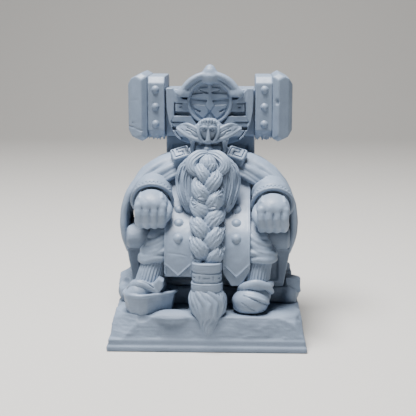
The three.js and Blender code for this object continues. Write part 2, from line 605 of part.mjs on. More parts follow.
const sides = [['left', -1], ['right', 1]];
const pieces = [
  ['hammer_core', metal, hammerCore],
  ...sides.map(([name, s]) => [`hammer_collar_${name}`, metal, (g) => hammerCollar(s, g)]),
  ...sides.map(([name, s]) => [`hammer_face_${name}`, metal, (g) => hammerFace(s, g)]),
  ['throne_back', stone, throneBack],
  ['throne_seat', stone, throneSeat],
  ...sides.map(([name, s]) => [`armrest_${name}`, stone, (g) => armrest(s, g)]),
  ['crest_medallion', metal, crestMedallion],
  ['crest_arch', metal, crestArch],
  ...sides.map(([name, s]) => [`crest_plate_${name}`, metal, (g) => crestPlate(s, g)]),
  ...sides.flatMap(([name, s]) =>
    [1, 0, -1].map((row, i) => [`collar_rivet_${name}_${i + 1}`, metal, (g) => collarRivet(s, row, g), true])),
  ['head', skin, head],
  ['helmet', metal, helmet],
  ['helmet_mask', metal, helmetMask],
  ...sides.map(([name, s]) => [`helmet_wing_${name}`, metal, (g) => helmetWing(s, g)]),
  ['chin_tuft', hair, chinTuft],
  ...sides.map(([name, s]) => [`moustache_${name}`, hair, (g) => moustache(s, g)]),
  ['braid', hair, braid],
  ['beard_ring', metal, beardRing],
  ['beard_tuft', hair, beardTuft],
  ...sides.map(([name, s]) => [`clasp_${name}`, metal, (g) => clasp(s, g)]),
  ['beard', hair, beard],
  ...sides.map(([name, s]) => [`strap_${name}`, leather, (g) => strap(s, g)]),
  ...sides.flatMap(([name, s]) =>
    [0, 1, 2].map((row) => [`strap_rivet_${name}_${row + 1}`, metal, (g) => strapRivet(s, row, g)])),
  ...sides.map(([name]) => [`fist_${name}`, skin, (g) => fist(ARMS[name], g)]),
  ...sides.map(([name]) => [`cuff_${name}`, metal, (g) => cuff(ARMS[name], g)]),
  ...sides.map(([name]) => [`sleeve_${name}`, cloth, (g) => sleeve(ARMS[name], g)]),
  ...sides.map(([name]) => [`boot_cuff_${name}`, leather, (g) => bootCuff(LEGS[name], g)]),
  ...sides.map(([name]) => [`shoe_${name}`, leather, (g) => shoe(LEGS[name], g)]),
  ...sides.map(([name]) => [`shin_${name}`, cloth, (g) => shin(LEGS[name], g)]),
  ...sides.map(([name, s]) => [`cloak_${name}`, cloth, (g) => cloak(s, g)]),
  ['robe', cloth, robe],
  ['dais', stone, dais],
  ['base', stone, base],
  ...sides.map(([name, s]) => [`boulder_${name}`, stone, (g) => boulder(s, g)]),
];

function seatedFaceToFace(a, b) {
  return (STACK.has(a) && STACK.has(b)) || (CREST.has(a) && CREST.has(b));
}

function boxesMeet(a, b) {
  const [p, q] = [a.boundingBox(), b.boundingBox()];
  return [0, 1, 2].every((i) => p.min[i] < q.max[i] && q.min[i] < p.max[i]);
}

function largestBody(solid) {
  return solid.decompose().reduce((big, body) => (body.volume() > big.volume() ? body : big));
}

const model = new THREE.Group();
const done = [];
for (const [name, finish, shape, flat] of pieces) {
  let solid = shape(0);
  for (const [earlier, tool] of done) {
    if (flat || seatedFaceToFace(name, earlier) || !boxesMeet(solid, tool)) continue;
    solid = solid.subtract(tool);
  }
  solid = largestBody(solid.simplify(FACET));
  done.push([name, shape(GLUE_GAP)]);
  const { vertProperties, triVerts } = solid.getMesh();
  const geometry = new THREE.BufferGeometry();
  geometry.setAttribute('position', new THREE.BufferAttribute(vertProperties, 3));
  geometry.setIndex(new THREE.BufferAttribute(triVerts, 1));
  const mesh = new THREE.Mesh(geometry, new THREE.MeshStandardMaterial(finish));
  mesh.name = name;
  model.add(mesh);
}

export default model;
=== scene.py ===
import math
import random

import bpy
import numpy as np
import openvdb
from mathutils import Matrix, Vector, noise


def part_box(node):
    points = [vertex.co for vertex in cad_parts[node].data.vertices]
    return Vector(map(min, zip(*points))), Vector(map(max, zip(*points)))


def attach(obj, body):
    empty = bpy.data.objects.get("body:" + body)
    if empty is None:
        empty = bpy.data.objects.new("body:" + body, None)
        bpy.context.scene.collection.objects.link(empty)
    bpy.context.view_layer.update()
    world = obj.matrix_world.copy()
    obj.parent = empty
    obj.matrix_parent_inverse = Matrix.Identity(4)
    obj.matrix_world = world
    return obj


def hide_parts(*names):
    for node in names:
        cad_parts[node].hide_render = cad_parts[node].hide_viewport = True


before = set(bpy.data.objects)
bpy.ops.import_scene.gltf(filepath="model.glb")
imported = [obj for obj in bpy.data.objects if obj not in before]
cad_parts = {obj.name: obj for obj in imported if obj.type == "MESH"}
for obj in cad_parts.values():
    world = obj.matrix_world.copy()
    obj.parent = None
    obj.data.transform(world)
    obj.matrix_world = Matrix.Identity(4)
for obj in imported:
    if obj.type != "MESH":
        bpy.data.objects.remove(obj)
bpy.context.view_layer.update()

MM = 0.001
FAR = 9.0           # the distance that empty clay starts with, more than any blend reaches
TINY = 1e-9         # keeps a division by a length from failing
SPECK = 1e-12       # the same for a squared length
SIDES = (("left", -1), ("right", 1))
CORNERS = ((-1, -1), (-1, 1), (1, -1), (1, 1))


# ------------------------------------------------------------ places, in millimetres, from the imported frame
class Place:
    """A node's box. at(0..1, 0..1, 0..1) is a point in it."""

    def __init__(self, node):
        low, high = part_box(node)
        self.low = np.array(low) / MM
        self.high = np.array(high) / MM
        self.mid = (self.low + self.high) / 2
        self.size = self.high - self.low

    def at(self, x, y, z):
        return self.low + self.size * np.array([x, y, z])


PLACES = {}


def place(node):
    if node not in PLACES:
        PLACES[node] = Place(node)
    return PLACES[node]


# ------------------------------------------------------------ clay: solids sculpted on a distance grid
def unit(vector):
    return vector / np.linalg.norm(vector)


def soft_min(a, b, blend):
    """The lesser of two distances, with a fillet where they cross."""
    if blend <= 0:
        return np.minimum(a, b)
    fillet = np.clip(blend - np.abs(a - b), 0, None)
    return np.minimum(a, b) - fillet * fillet / (4 * blend)


def soft_max(a, b, blend):
    return -soft_min(-a, -b, blend)


def smooth_path(points, count):
    """Catmull-Rom through the points, sampled evenly in the parameter. Works on rows of any width."""
    p = np.array(points, float)
    if len(p) == 2:
        t = np.linspace(0, 1, count)[:, None]
        return p[0] * (1 - t) + p[1] * t
    ends = np.vstack([2 * p[0] - p[1], p, 2 * p[-1] - p[-2]])
    out = []
    for s in np.linspace(0, len(p) - 1, count):
        i = min(int(s), len(p) - 2)
        t = s - i
        a, b, c, d = ends[i:i + 4]
        linear, square, cube = c - a, 2 * a - 5 * b + 4 * c - d, 3 * b - a - 3 * c + d
        out.append(0.5 * (2 * b + linear * t + square * t ** 2 + cube * t ** 3))
    return np.array(out)


# A shape is its lowest corner, its highest corner and its distance function, negative inside.
def ball(centre, radii):
    centre, radii = np.array(centre, float), np.array(radii, float) * np.ones(3)

    def distance(x, y, z):
        p = [x - centre[0], y - centre[1], z - centre[2]]
        near = np.sqrt(sum((p[i] / radii[i]) ** 2 for i in range(3)))
        slope = np.sqrt(sum((p[i] / radii[i] ** 2) ** 2 for i in range(3))) + TINY
        return near * (near - 1) / slope
    return centre - radii, centre + radii, distance


def brick(low, high, round_off=0.0):
    low, high = np.array(low, float), np.array(high, float)
    mid, half = (low + high) / 2, (high - low) / 2 - round_off

    def distance(x, y, z):
        q = [np.abs(v - m) - h for v, m, h in zip((x, y, z), mid, half)]
        outside = np.sqrt(sum(np.maximum(v, 0) ** 2 for v in q))
        inside = np.minimum(np.maximum(np.maximum(q[0], q[1]), q[2]), 0)
        return outside + inside - round_off
    return low, high, distance


def half_space(point, normal):
    """Everything behind a plane."""
    point, normal = np.array(point, float), unit(np.array(normal, float))

    def distance(x, y, z):
        return (x - point[0]) * normal[0] + (y - point[1]) * normal[1] + (z - point[2]) * normal[2]
    return None, None, distance


def outline_distance(u, v, corners):
    """The distance from flat points to a closed outline, negative inside."""
    nearest = None
    inside = np.zeros(np.broadcast(u, v).shape, bool)
    for (ax, ay), (bx, by) in zip(corners, np.roll(corners, -1, axis=0)):
        ex, ey = bx - ax, by - ay
        wx, wy = u - ax, v - ay
        t = np.clip((wx * ex + wy * ey) / (ex * ex + ey * ey + SPECK), 0, 1)
        gap = (wx - ex * t) ** 2 + (wy - ey * t) ** 2
        nearest = gap if nearest is None else np.minimum(nearest, gap)
        crosses = (ay > v) != (by > v)
        inside ^= crosses & (u < (bx - ax) * (v - ay) / (by - ay + SPECK) + ax)
    return np.where(inside, -1, 1) * np.sqrt(nearest)


def slab(corners, axis, start, end, round_off=0.0):
    """A flat outline given thickness along axis 0, 1 or 2; its corners are in the other two axes."""
    corners = np.array(corners, float)
    others = [i for i in range(3) if i != axis]
    low, high = np.zeros(3), np.zeros(3)
    low[others], high[others] = corners.min(0), corners.max(0)
    low[axis], high[axis] = start, end

    def distance(x, y, z):
        p = (x, y, z)
        flat = outline_distance(p[others[0]], p[others[1]], corners) + round_off
        deep = np.abs(p[axis] - (start + end) / 2) - (end - start) / 2 + round_off
        outside = np.sqrt(np.maximum(flat, 0) ** 2 + np.maximum(deep, 0) ** 2)
        return outside + np.minimum(np.maximum(flat, deep), 0) - round_off
    return low, high, distance


def turned_ring(profile, centre, half, power=2.0):
    """A profile of (part of the half width, height) turned about Z, round or squared."""
    profile = np.array(profile, float)
    a, b = half
    scale = (a + b) / 2
    widest = profile[:, 0].max()
    low = np.array([centre[0] - a * widest, centre[1] - b * widest, profile[:, 1].min()])
    high = np.array([centre[0] + a * widest, centre[1] + b * widest, profile[:, 1].max()])

    def distance(x, y, z):
        out = ((np.abs(x - centre[0]) / a) ** power + (np.abs(y - centre[1]) / b) ** power) ** (1 / power)
        return outline_distance(out * scale, z + 0 * out, profile * [scale, 1])
    return low, high, distance


class Clay:
    """A block of points, a grain apart, that hold their distance to the surface of what is sculpted."""

    BORDER = 4          # grains of empty space round the block
    BAND = 3            # grains past a shape where it still counts
    ROUGHING = 1.5      # a factor for a coarser grain
    STRIDE = 4          # grains to a step of a strand, where the steps aren't given
    MOST_STEPS = 60

    def __init__(self, low, high, grain):
        self.grain = grain * 1
        border = self.BORDER * self.grain
        self.low = np.array(low, float) - border
        self.count = np.ceil((np.array(high) + border - self.low) / self.grain).astype(int) + 1
        self.axes = [self.low[i] + self.grain * np.arange(self.count[i]) for i in range(3)]
        self.field = np.full(self.count, FAR, np.float32)

    def window(self, low, high, margin):
        """The part of the block that holds a box, and its points' places."""
        first = np.clip(np.floor((low - margin - self.low) / self.grain).astype(int), 0, self.count - 1)
        last = np.clip(np.ceil((high + margin - self.low) / self.grain).astype(int) + 1, 1, self.count)
        last = np.maximum(last, first + 1)
        part = tuple(slice(a, b) for a, b in zip(first, last))
        x, y, z = (axis[span].astype(np.float32) for axis, span in zip(self.axes, part))
        return part, x[:, None, None], y[None, :, None], z[None, None, :]

    def whole(self):
        return self.window(self.low, self.low + self.grain * self.count, 0)

    def add(self, shape, blend=0.0):
        """Joins a shape on, with a fillet about as wide as blend."""
        low, high, distance = shape
        part, x, y, z = self.window(low, high, blend + self.BAND * self.grain)
        self.field[part] = soft_min(self.field[part], distance(x, y, z), blend)

    def cut(self, shape, blend=0.0):
        low, high, distance = shape
        reach = blend + self.BAND * self.grain
        part, x, y, z = self.whole() if low is None else self.window(low, high, reach)
        self.field[part] = soft_max(self.field[part], -distance(x, y, z), blend)

    def keep(self, shape, blend=0.0):
        """Cuts away what is outside a shape."""
        part, x, y, z = self.whole()
        self.field[part] = soft_max(self.field[part], shape[2](x, y, z), blend)

    def strand(self, points, radii, blend=0.1, up=None, squash=1.0, ridges=0, depth=0.0, steps=None,
               carve=False):
        """A tapering strand along a path, squashed by `squash` in the direction `up` (one vector, or one a
        point). `ridges` run along it, each as deep as a part `depth` of the radius."""
        points = np.array(points, float)
        length = np.linalg.norm(np.diff(points, axis=0), axis=1).sum()
        steps = steps or max(2, min(self.MOST_STEPS, int(length / (self.STRIDE * self.grain)) + 2))
        radii = np.interp(np.linspace(0, 1, steps), np.linspace(0, 1, len(radii)), radii)
        ups = None
        if up is not None:
            up = np.array(up, float)
            ups = np.tile(up, (steps, 1)) if up.ndim == 1 else smooth_path(up, steps)
        path = smooth_path(points, steps)
        margin = blend + self.BAND * self.grain
        part = self.window(path.min(0), path.max(0), radii.max() * (1 + depth) + margin)[0]
        local = np.full(self.field[part].shape, FAR, np.float32)
        corner = np.array([s.start for s in part])
        for i in range(steps - 1):
            a, b, ra, rb = path[i], path[i + 1], radii[i], radii[i + 1]
            edge = max(ra, rb) * (1 + depth) + margin
            inner, u, v, w = self.window(np.minimum(a, b), np.maximum(a, b), edge)
            here = tuple(slice(s.start - c, s.stop - c) for s, c in zip(inner, corner))
            along = b - a
            span = along @ along + SPECK
            t = np.clip(((u - a[0]) * along[0] + (v - a[1]) * along[1] + (w - a[2]) * along[2]) / span, 0, 1)
            off = [u - a[0] - t * along[0], v - a[1] - t * along[1], w - a[2] - t * along[2]]
            radius = ra + t * (rb - ra)
            if ups is None:
                gap = np.sqrt(off[0] ** 2 + off[1] ** 2 + off[2] ** 2) - radius
            else:
                ahead = along / math.sqrt(span)
                thin = ups[i] - ahead * (ups[i] @ ahead)
                thin = thin / (np.linalg.norm(thin) + TINY)
                wide = np.cross(ahead, thin)
                p, q, r = (sum(off[j] * d[j] for j in range(3)) for d in (wide, thin, ahead))
                q = q / squash
                if ridges:
                    radius = radius * (1 + depth * np.cos(ridges * np.arctan2(q, p) + 1.0))
                gap = (np.sqrt(p * p + q * q + r * r) - radius) * (0.5 + 0.5 * squash)
            local[here] = np.minimum(local[here], gap)
        if carve:
            self.field[part] = soft_max(self.field[part], -local, blend)
        else:
            self.field[part] = soft_min(self.field[part], local, blend)

    def groove(self, points, width, blend=0.05):
        """A round-bottomed line cut along a path."""
        self.strand(points, [width / 2] * len(points), blend, carve=True)

    def chamfer(self, box, width, blend):
        """Cuts the four long edges of a block that lies along X."""
        for a, c in CORNERS:
            point = [box.mid[0], box.mid[1] + a * (box.size[1] / 2 - width / 2),
                     box.mid[2] + c * (box.size[2] / 2 - width / 2)]
            self.keep(half_space(point, [0, a, c]), blend)

    def surface(self, spots, axis=1, side=-1, lift=0.0):
        """Points of the surface seen from one side, over flat spots given in the other two axes."""
        others = [i for i in range(3) if i != axis]
        found = []
        for spot in spots:
            index = [0, 0, 0]
            for i, value in zip(others, spot):
                index[i] = int(np.clip(round((value - self.low[i]) / self.grain), 0, self.count[i] - 1))
            index[axis] = slice(None)
            column = self.field[tuple(index)]
            order = column if side < 0 else column[::-1]
            solid = np.nonzero(order < 0)[0]
            if len(solid) == 0 or solid[0] == 0:
                continue
            j = solid[0]
            step = j - order[j] / (order[j] - order[j - 1])
            if side > 0:
                step = len(column) - 1 - step
            point = np.zeros(3)
            point[others] = spot
            point[axis] = self.low[axis] + step * self.grain + side * lift
            found.append(point)
        return found

    def mesh(self, roughen=None, placing=None):
        """Vertices and four-sided faces of the surface, in millimetres, largest lump only."""
        grid = openvdb.FloatGrid(FAR)
        grid.copyFromArray(np.ascontiguousarray(self.field), tolerance=0.0)
        points, quads = grid.convertToQuads()
        points = points.astype(float) * self.grain + self.low
        quads = quads.astype(np.int64)
        # each point takes the least label that it can reach over faces, so a lump shares one
        label = np.arange(len(points))
        while True:
            least = label[quads].min(1)
            new = label.copy()
            for corner in range(4):
                np.minimum.at(new, quads[:, corner], least)
            new = new[new]
            if (new == label).all():
                break
            label = new
        names, sizes = np.unique(label[quads[:, 0]], return_counts=True)
        quads = quads[label[quads[:, 0]] == names[sizes.argmax()]]
        used, quads = np.unique(quads, return_inverse=True)
        quads = quads.reshape(-1, 4)
        points = points[used]
        if roughen:
            points = roughen(points, quads)
        if placing is not None:
            points = points @ np.array(placing.to_3x3()).T + np.array(placing.translation)
            if placing.determinant() < 0:
                quads = quads[:, ::-1]
        return points, quads


def vertex_normals(points, quads):
    """Normals of the points, weighted by the faces' areas."""
    faces = points[quads]
    normal = np.cross(faces[:, 2] - faces[:, 0], faces[:, 3] - faces[:, 1])
    total = np.zeros_like(points)
    for corner in range(4):
        np.add.at(total, quads[:, corner], normal)
    return total / (np.linalg.norm(total, axis=1, keepdims=True) + SPECK)


def pitted(amount, scale, seed=0, stretch=(1, 1, 1), detail=3):
    """Pushes the surface in and out by noise, for broken stone and hammered or hand-worked faces."""
    def roughen(points, quads):
        normals = vertex_normals(points, quads)
        shift = Vector((seed * 7.1, seed * 3.3, seed * 5.7))
        squeeze = Vector(stretch) / scale
        push = np.array([noise.fractal(Vector(p) * squeeze + shift, 1.0, 2.0, detail) for p in points])
        return points + normals * (push * amount)[:, None]
    return roughen


def turned_to(x, y, z, origin):
    """The placing whose axes are x, y and z."""
    return Matrix([[x[i], y[i], z[i], origin[i]] for i in range(3)] + [[0, 0, 0, 1]])


# ------------------------------------------------------------ pieces
def add_object(name, points, faces, material):
    mesh = bpy.data.meshes.new(name)
    mesh.vertices.add(len(points))
    mesh.vertices.foreach_set("co", (points * MM).astype(np.float32).ravel())
    mesh.loops.add(faces.size)
    mesh.loops.foreach_set("vertex_index", faces.astype(np.int32).ravel())
    mesh.polygons.add(len(faces))
    starts = np.arange(0, faces.size, faces.shape[1], dtype=np.int32)
    mesh.polygons.foreach_set("loop_start", starts)
    mesh.update(calc_edges=True)
    mesh.validate()
    mesh.shade_smooth()
    mesh.materials.append(material)
    piece = bpy.data.objects.new(name, mesh)
    bpy.context.scene.collection.objects.link(piece)
    return piece


def settle(piece, slot, *nodes):
    """Puts a finished piece on the figure in place of its plain nodes."""
    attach(piece, "root")
    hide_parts(*nodes)
    return piece


def cast(name, clay, slot, *nodes, roughen=None, placing=None):
    """Makes the piece that was sculpted, in place of its plain nodes."""
    points, quads = clay.mesh(roughen, placing)
    return settle(add_object(name, points, quads, FINISH[slot]), slot, *nodes)


# ------------------------------------------------------------ finishes
def new_group(name, inputs, outputs):
    tree = bpy.data.node_groups.new(name, "ShaderNodeTree")
    for label, kind, default in inputs:
        socket = tree.interface.new_socket(label, in_out="INPUT", socket_type=kind)
        if default is not None:
            socket.default_value = default
    for label, kind in outputs:
        tree.interface.new_socket(label, in_out="OUTPUT", socket_type=kind)
    return tree, tree.nodes.new("NodeGroupInput"), tree.nodes.new("NodeGroupOutput")


def math_node(tree, operation, a, b=0.0):
    node = tree.nodes.new("ShaderNodeMath")
    node.operation = operation
    for socket, value in zip(node.inputs, (a, b)):
        if isinstance(value, (int, float)):
            socket.default_value = value
        else:
            tree.links.new(value, socket)
    return node.outputs[0]


def blend_colour(tree, factor, a, b):
    node = tree.nodes.new("ShaderNodeMix")
    node.data_type = "RGBA"
    for socket, value in zip((node.inputs[0], node.inputs[6], node.inputs[7]), (factor, a, b)):
        if isinstance(value, (tuple, float)):
            socket.default_value = value
        else:
            tree.links.new(value, socket)
    return node.outputs[2]


def stretch_range(tree, value, low, high):
    node = tree.nodes.new("ShaderNodeMapRange")
    tree.links.new(value, node.inputs[0])
    node.inputs[1].default_value, node.inputs[2].default_value = low, high
    return node.outputs[0]


def make_resin_cloud():
    """Pigment that has settled unevenly in the cast: clouds a few millimetres across and fine specks."""
    tree, into, out = new_group("resin_cloud", [
        ("Position", "NodeSocketVector", None), ("Cloud Size", "NodeSocketFloat", 300.0),
        ("Deep", "NodeSocketColor", (0.3, 0.3, 0.3, 1)), ("Pale", "NodeSocketColor", (0.5, 0.5, 0.5, 1))],
        [("Colour", "NodeSocketColor"), ("Cloud", "NodeSocketFloat")])
    cloud, speck = tree.nodes.new("ShaderNodeTexNoise"), tree.nodes.new("ShaderNodeTexNoise")
    for node in (cloud, speck):
        tree.links.new(into.outputs["Position"], node.inputs["Vector"])
    tree.links.new(into.outputs["Cloud Size"], cloud.inputs["Scale"])
    cloud.inputs["Detail"].default_value = 3
    speck.inputs["Scale"].default_value = 4200
    speck.inputs["Detail"].default_value = 2
    mixed = math_node(tree, "ADD", math_node(tree, "MULTIPLY", cloud.outputs[0], 0.75),
                      math_node(tree, "MULTIPLY", speck.outputs[0], 0.25))
    level = stretch_range(tree, mixed, 0.36, 0.64)
    tree.links.new(blend_colour(tree, level, into.outputs["Deep"], into.outputs["Pale"]),
                   out.inputs["Colour"])
    tree.links.new(level, out.inputs["Cloud"])
    return tree


def make_edge_highlight_and_hollow_shade():
    """Painted highlight on the edges, found by pointiness, and dust with painted shade darkening the hollows.
    """
    tree, into, out = new_group("painted_edge_light_and_shade", [
        ("Colour", "NodeSocketColor", None), ("Rubbed", "NodeSocketColor", (0.7, 0.7, 0.7, 1)),
        ("Dusty", "NodeSocketColor", (0.2, 0.2, 0.2, 1)), ("Wear", "NodeSocketFloat", 0.4),
        ("Dust", "NodeSocketFloat", 0.4)], [("Colour", "NodeSocketColor"), ("Edge", "NodeSocketFloat")])
    shape = tree.nodes.new("ShaderNodeNewGeometry")
    # painted highlight: the sharpest edges are lifted toward a paler colour; dust and painted shade: the most
    # sunken hollows are darkened
    edge = stretch_range(tree, shape.outputs["Pointiness"], 0.53, 0.62)
    hollow = stretch_range(tree, shape.outputs["Pointiness"], 0.48, 0.38)
    highlighted = blend_colour(tree, math_node(tree, "MULTIPLY", edge, into.outputs["Wear"]),
                          into.outputs["Colour"], into.outputs["Rubbed"])
    dusted_and_shaded = blend_colour(tree, math_node(tree, "MULTIPLY", hollow, into.outputs["Dust"]), highlighted,
                          into.outputs["Dusty"])
    tree.links.new(dusted_and_shaded, out.inputs["Colour"])
    tree.links.new(edge, out.inputs["Edge"])
    return tree


def make_cast_skin():
    """The height of the cast surface: pinholes and grain, and the faint terraces of the printed master."""
    tree, into, out = new_group("cast_skin", [("Position", "NodeSocketVector", None),
                                              ("Grain Scale", "NodeSocketFloat", 3000.0),
                                              ("Grain", "NodeSocketFloat", 0.6),
                                              ("Terraces", "NodeSocketFloat", 0.2)],
                                [("Height", "NodeSocketFloat")])
    grain, terrace = tree.nodes.new("ShaderNodeTexNoise"), tree.nodes.new("ShaderNodeTexWave")
    for node in (grain, terrace):
        tree.links.new(into.outputs["Position"], node.inputs["Vector"])
    tree.links.new(into.outputs["Grain Scale"], grain.inputs["Scale"])
    grain.inputs["Detail"].default_value = 4
    terrace.bands_direction = "Z"
    terrace.inputs["Scale"].default_value = 3200
    terrace.inputs["Distortion"].default_value = 1.5
    height = math_node(tree, "ADD", math_node(tree, "MULTIPLY", grain.outputs[0], into.outputs["Grain"]),
                       math_node(tree, "MULTIPLY", terrace.outputs["Fac"], into.outputs["Terraces"]))
    tree.links.new(height, out.inputs["Height"])
    return tree


CLOUD, EDGES, SKIN = make_resin_cloud(), make_edge_highlight_and_hollow_shade(), make_cast_skin()
RESIN = (0.204, 0.262, 0.356)
RELIEF_DEPTH = 0.06 * MM


def resin(name, tone=1.0, cloud_size=300.0, grain_scale=3000.0, grain=0.6, terraces=0.2, edge_highlight=0.35, dust_and_shade=0.4,
          roughness=0.5, bump=0.35):
    """Bare grey-blue casting resin."""
    material = bpy.data.materials.new(name)
    material.use_nodes = True
    tree = material.node_tree
    shader = tree.nodes["Principled BSDF"]
    spot = tree.nodes.new("ShaderNodeTexCoord").outputs["Object"]

    def shade(level):
        return tuple(min(1, c * tone * level) for c in RESIN) + (1.0,)

    def placed(group, **values):
        node = tree.nodes.new("ShaderNodeGroup")
        node.node_tree = group
        for label, value in values.items():
            node.inputs[label.replace("_", " ")].default_value = value
        return node

    cloud = placed(CLOUD, Cloud_Size=cloud_size, Deep=shade(0.90), Pale=shade(1.08))
    # the edges get a painted highlight at 1.35 times the tone, and the hollows get dust and painted shade at
    # 0.62 times the tone
    edges = placed(EDGES, Rubbed=shade(1.35), Dusty=shade(0.62), Wear=edge_highlight, Dust=dust_and_shade)
    skin = placed(SKIN, Grain_Scale=grain_scale, Grain=grain, Terraces=terraces)
    tree.links.new(spot, cloud.inputs["Position"])
    tree.links.new(spot, skin.inputs["Position"])
    tree.links.new(cloud.outputs["Colour"], edges.inputs["Colour"])
    tree.links.new(edges.outputs["Colour"], shader.inputs["Base Color"])
    relief = tree.nodes.new("ShaderNodeBump")
    relief.inputs["Strength"].default_value = bump
    relief.inputs["Distance"].default_value = RELIEF_DEPTH
    tree.links.new(skin.outputs["Height"], relief.inputs["Height"])
    tree.links.new(relief.outputs["Normal"], shader.inputs["Normal"])
    sheen = math_node(tree, "ADD", math_node(tree, "MULTIPLY", cloud.outputs["Cloud"], -0.12),
                      roughness + 0.06)
    tree.links.new(sheen, shader.inputs["Roughness"])
    shader.inputs["IOR"].default_value = 1.48
    return material


# tone, cloud size, grain scale, grain, terraces, painted edge highlight, dust and painted hollow shade,
# roughness, bump
FINISH = {
    "stone": resin("resin_hewn_rock", 0.86, 220, 1900, 1.0, 0.25, 0.3, 0.45, 0.62, 0.6),
    "ironwork": resin("resin_crisp_ironwork", 0.95, 320, 3200, 0.6, 0.2, 0.5, 0.45, 0.46, 0.3),
    "cloth": resin("resin_draped_cloth", 1.0, 260, 2600, 0.8, 0.15, 0.3, 0.4, 0.56, 0.4),
    "skin": resin("resin_smooth_skin", 1.03, 380, 3400, 0.5, 0.1, 0.25, 0.5, 0.48, 0.25),
    "hair": resin("resin_combed_hair", 1.03, 300, 3000, 0.5, 0.1, 0.4, 0.5, 0.5, 0.3),
    "leather": resin("resin_smooth_leather", 1.0, 340, 3000, 0.6, 0.15, 0.35, 0.4, 0.46, 0.3),
}


# ------------------------------------------------------------ levels shared by several pieces
SEAT_TOP = place("throne_seat").high[2]
HAMMER_FOOT = place("hammer_core").low[2]
CHIN = HAMMER_FOOT - 1.5


# ------------------------------------------------------------ plinth
def plinth():
    b = place("base")
    lip, foot, lean = 0.95, 2.0, 0.14
    room, grain = [0, 0, 0.9], 0.18
    clay = Clay(b.low, b.high + room, grain=grain)
    clay.add(brick(b.low + [0.02, 0.02, 0], [b.high[0] - 0.02, b.high[1] - 0.02, lip], round_off=0.25))
    clay.add(brick(b.low + 0.3, [b.high[0] - 0.3, b.high[1] - 0.3, foot], round_off=0.15), blend=0.1)
    rock = Clay(b.low, b.high + room, grain=grain)
    rock.add(brick([b.low[0], b.low[1], 0.5], [b.high[0], b.high[1], b.high[2] + 0.05], round_off=0.1))
    for axis in (0, 1):
        for side in (-1, 1):
            point, normal = [0, 0, foot], [0, 0, lean]
            point[axis] = side * (b.high[axis] - 0.45)
            normal[axis] = side
            rock.keep(half_space(point, normal), blend=0.15)
    front = b.low[1]
    # hewn facets: a point on each plane and the way it faces
    for point, normal in (((-10.4, front + 0.5, 4.6), (-0.42, -0.8, 0.5)),
                          ((-14.3, front + 3.3, 5.3), (-0.5, -0.35, 0.85)),
                          ((12.0, front + 0.2, 4.9), (0.3, -0.5, 0.8)),
                          ((14.6, front + 2.4, 4.9), (0.72, -0.4, 0.5))):
        rock.keep(half_space(point, normal), blend=0.1)
    # broad flakes struck off the front
    for start, end, back in ((-12.4, -6.9, 0.42), (7.4, 12.6, 0.3)):
        flake = [(start, front - 1), (end, front - 1), (end - 0.5, front + back + 0.2),
                 (start + 0.8, front + back)]
        rock.cut(slab(flake, 2, foot + 0.3, 9, round_off=0.1), blend=0.25)
    chips = random.Random(5)
    for x, size, rise in ((-12.3, 1.3, -0.35), (-4.6, 0.8, 0.35), (2.2, 1.2, 0.35), (9.2, 1.0, 0.3)):
        rock.cut(ball([x, front + 0.3, b.high[2] + 0.2 + rise], [size, 1.0, 0.62]), blend=0.2)
    for side in (-1, 1):
        for i in range(6):
            y = b.low[1] + 3 + i * 5 + chips.uniform(-1, 1)
            rock.cut(ball([side * (b.high[0] - 0.5), y, b.high[2] + 0.5],
                          [1.2, chips.uniform(1.4, 2.6), 1.0]), blend=0.3)
    for i in range(6):
        x = b.low[0] + 3 + i * 5.2 + chips.uniform(-1, 1)
        rock.cut(ball([x, b.high[1] - 0.4, b.high[2] + 0.5], [chips.uniform(1.4, 2.6), 1.2, 1.0]), blend=0.3)
    # a hump beside the left shoe, a dip under its toe and a swell under the right one
    rock.add(ball([-5.6, front + 2.25, b.high[2] - 0.3], [3.7, 2.0, 1.0]), blend=0.3)
    rock.cut(ball([-10.3, front + 0.2, b.high[2] + 0.2], [1.5, 1.5, 1.3]), blend=0.15)
    rock.add(ball([12.2, front + 3.4, b.high[2] - 0.2], [2.4, 1.8, 0.5]), blend=0.4)
    clay.field = soft_min(clay.field, rock.field, 0.06)
    broken = pitted(0.12, 3.4, seed=2, stretch=(1, 1, 1.5))
    worked = pitted(0.045, 0.55, seed=4, stretch=(0.35, 0.5, 2.4))

    def roughen(points, quads):
        """Broken stone above the moulded foot, which stays nearly smooth and flat underneath."""
        rough = worked(broken(points, quads), quads)
        share = np.clip((points[:, 2:] - foot + 0.1) / 0.5, 0.12, 1)
        moved = points + (rough - points) * share
        moved[:, 2] = np.where(points[:, 2] < 0.25, points[:, 2], moved[:, 2])
        return moved
    return cast("plinth_rock", clay, "stone", "base", roughen=roughen)


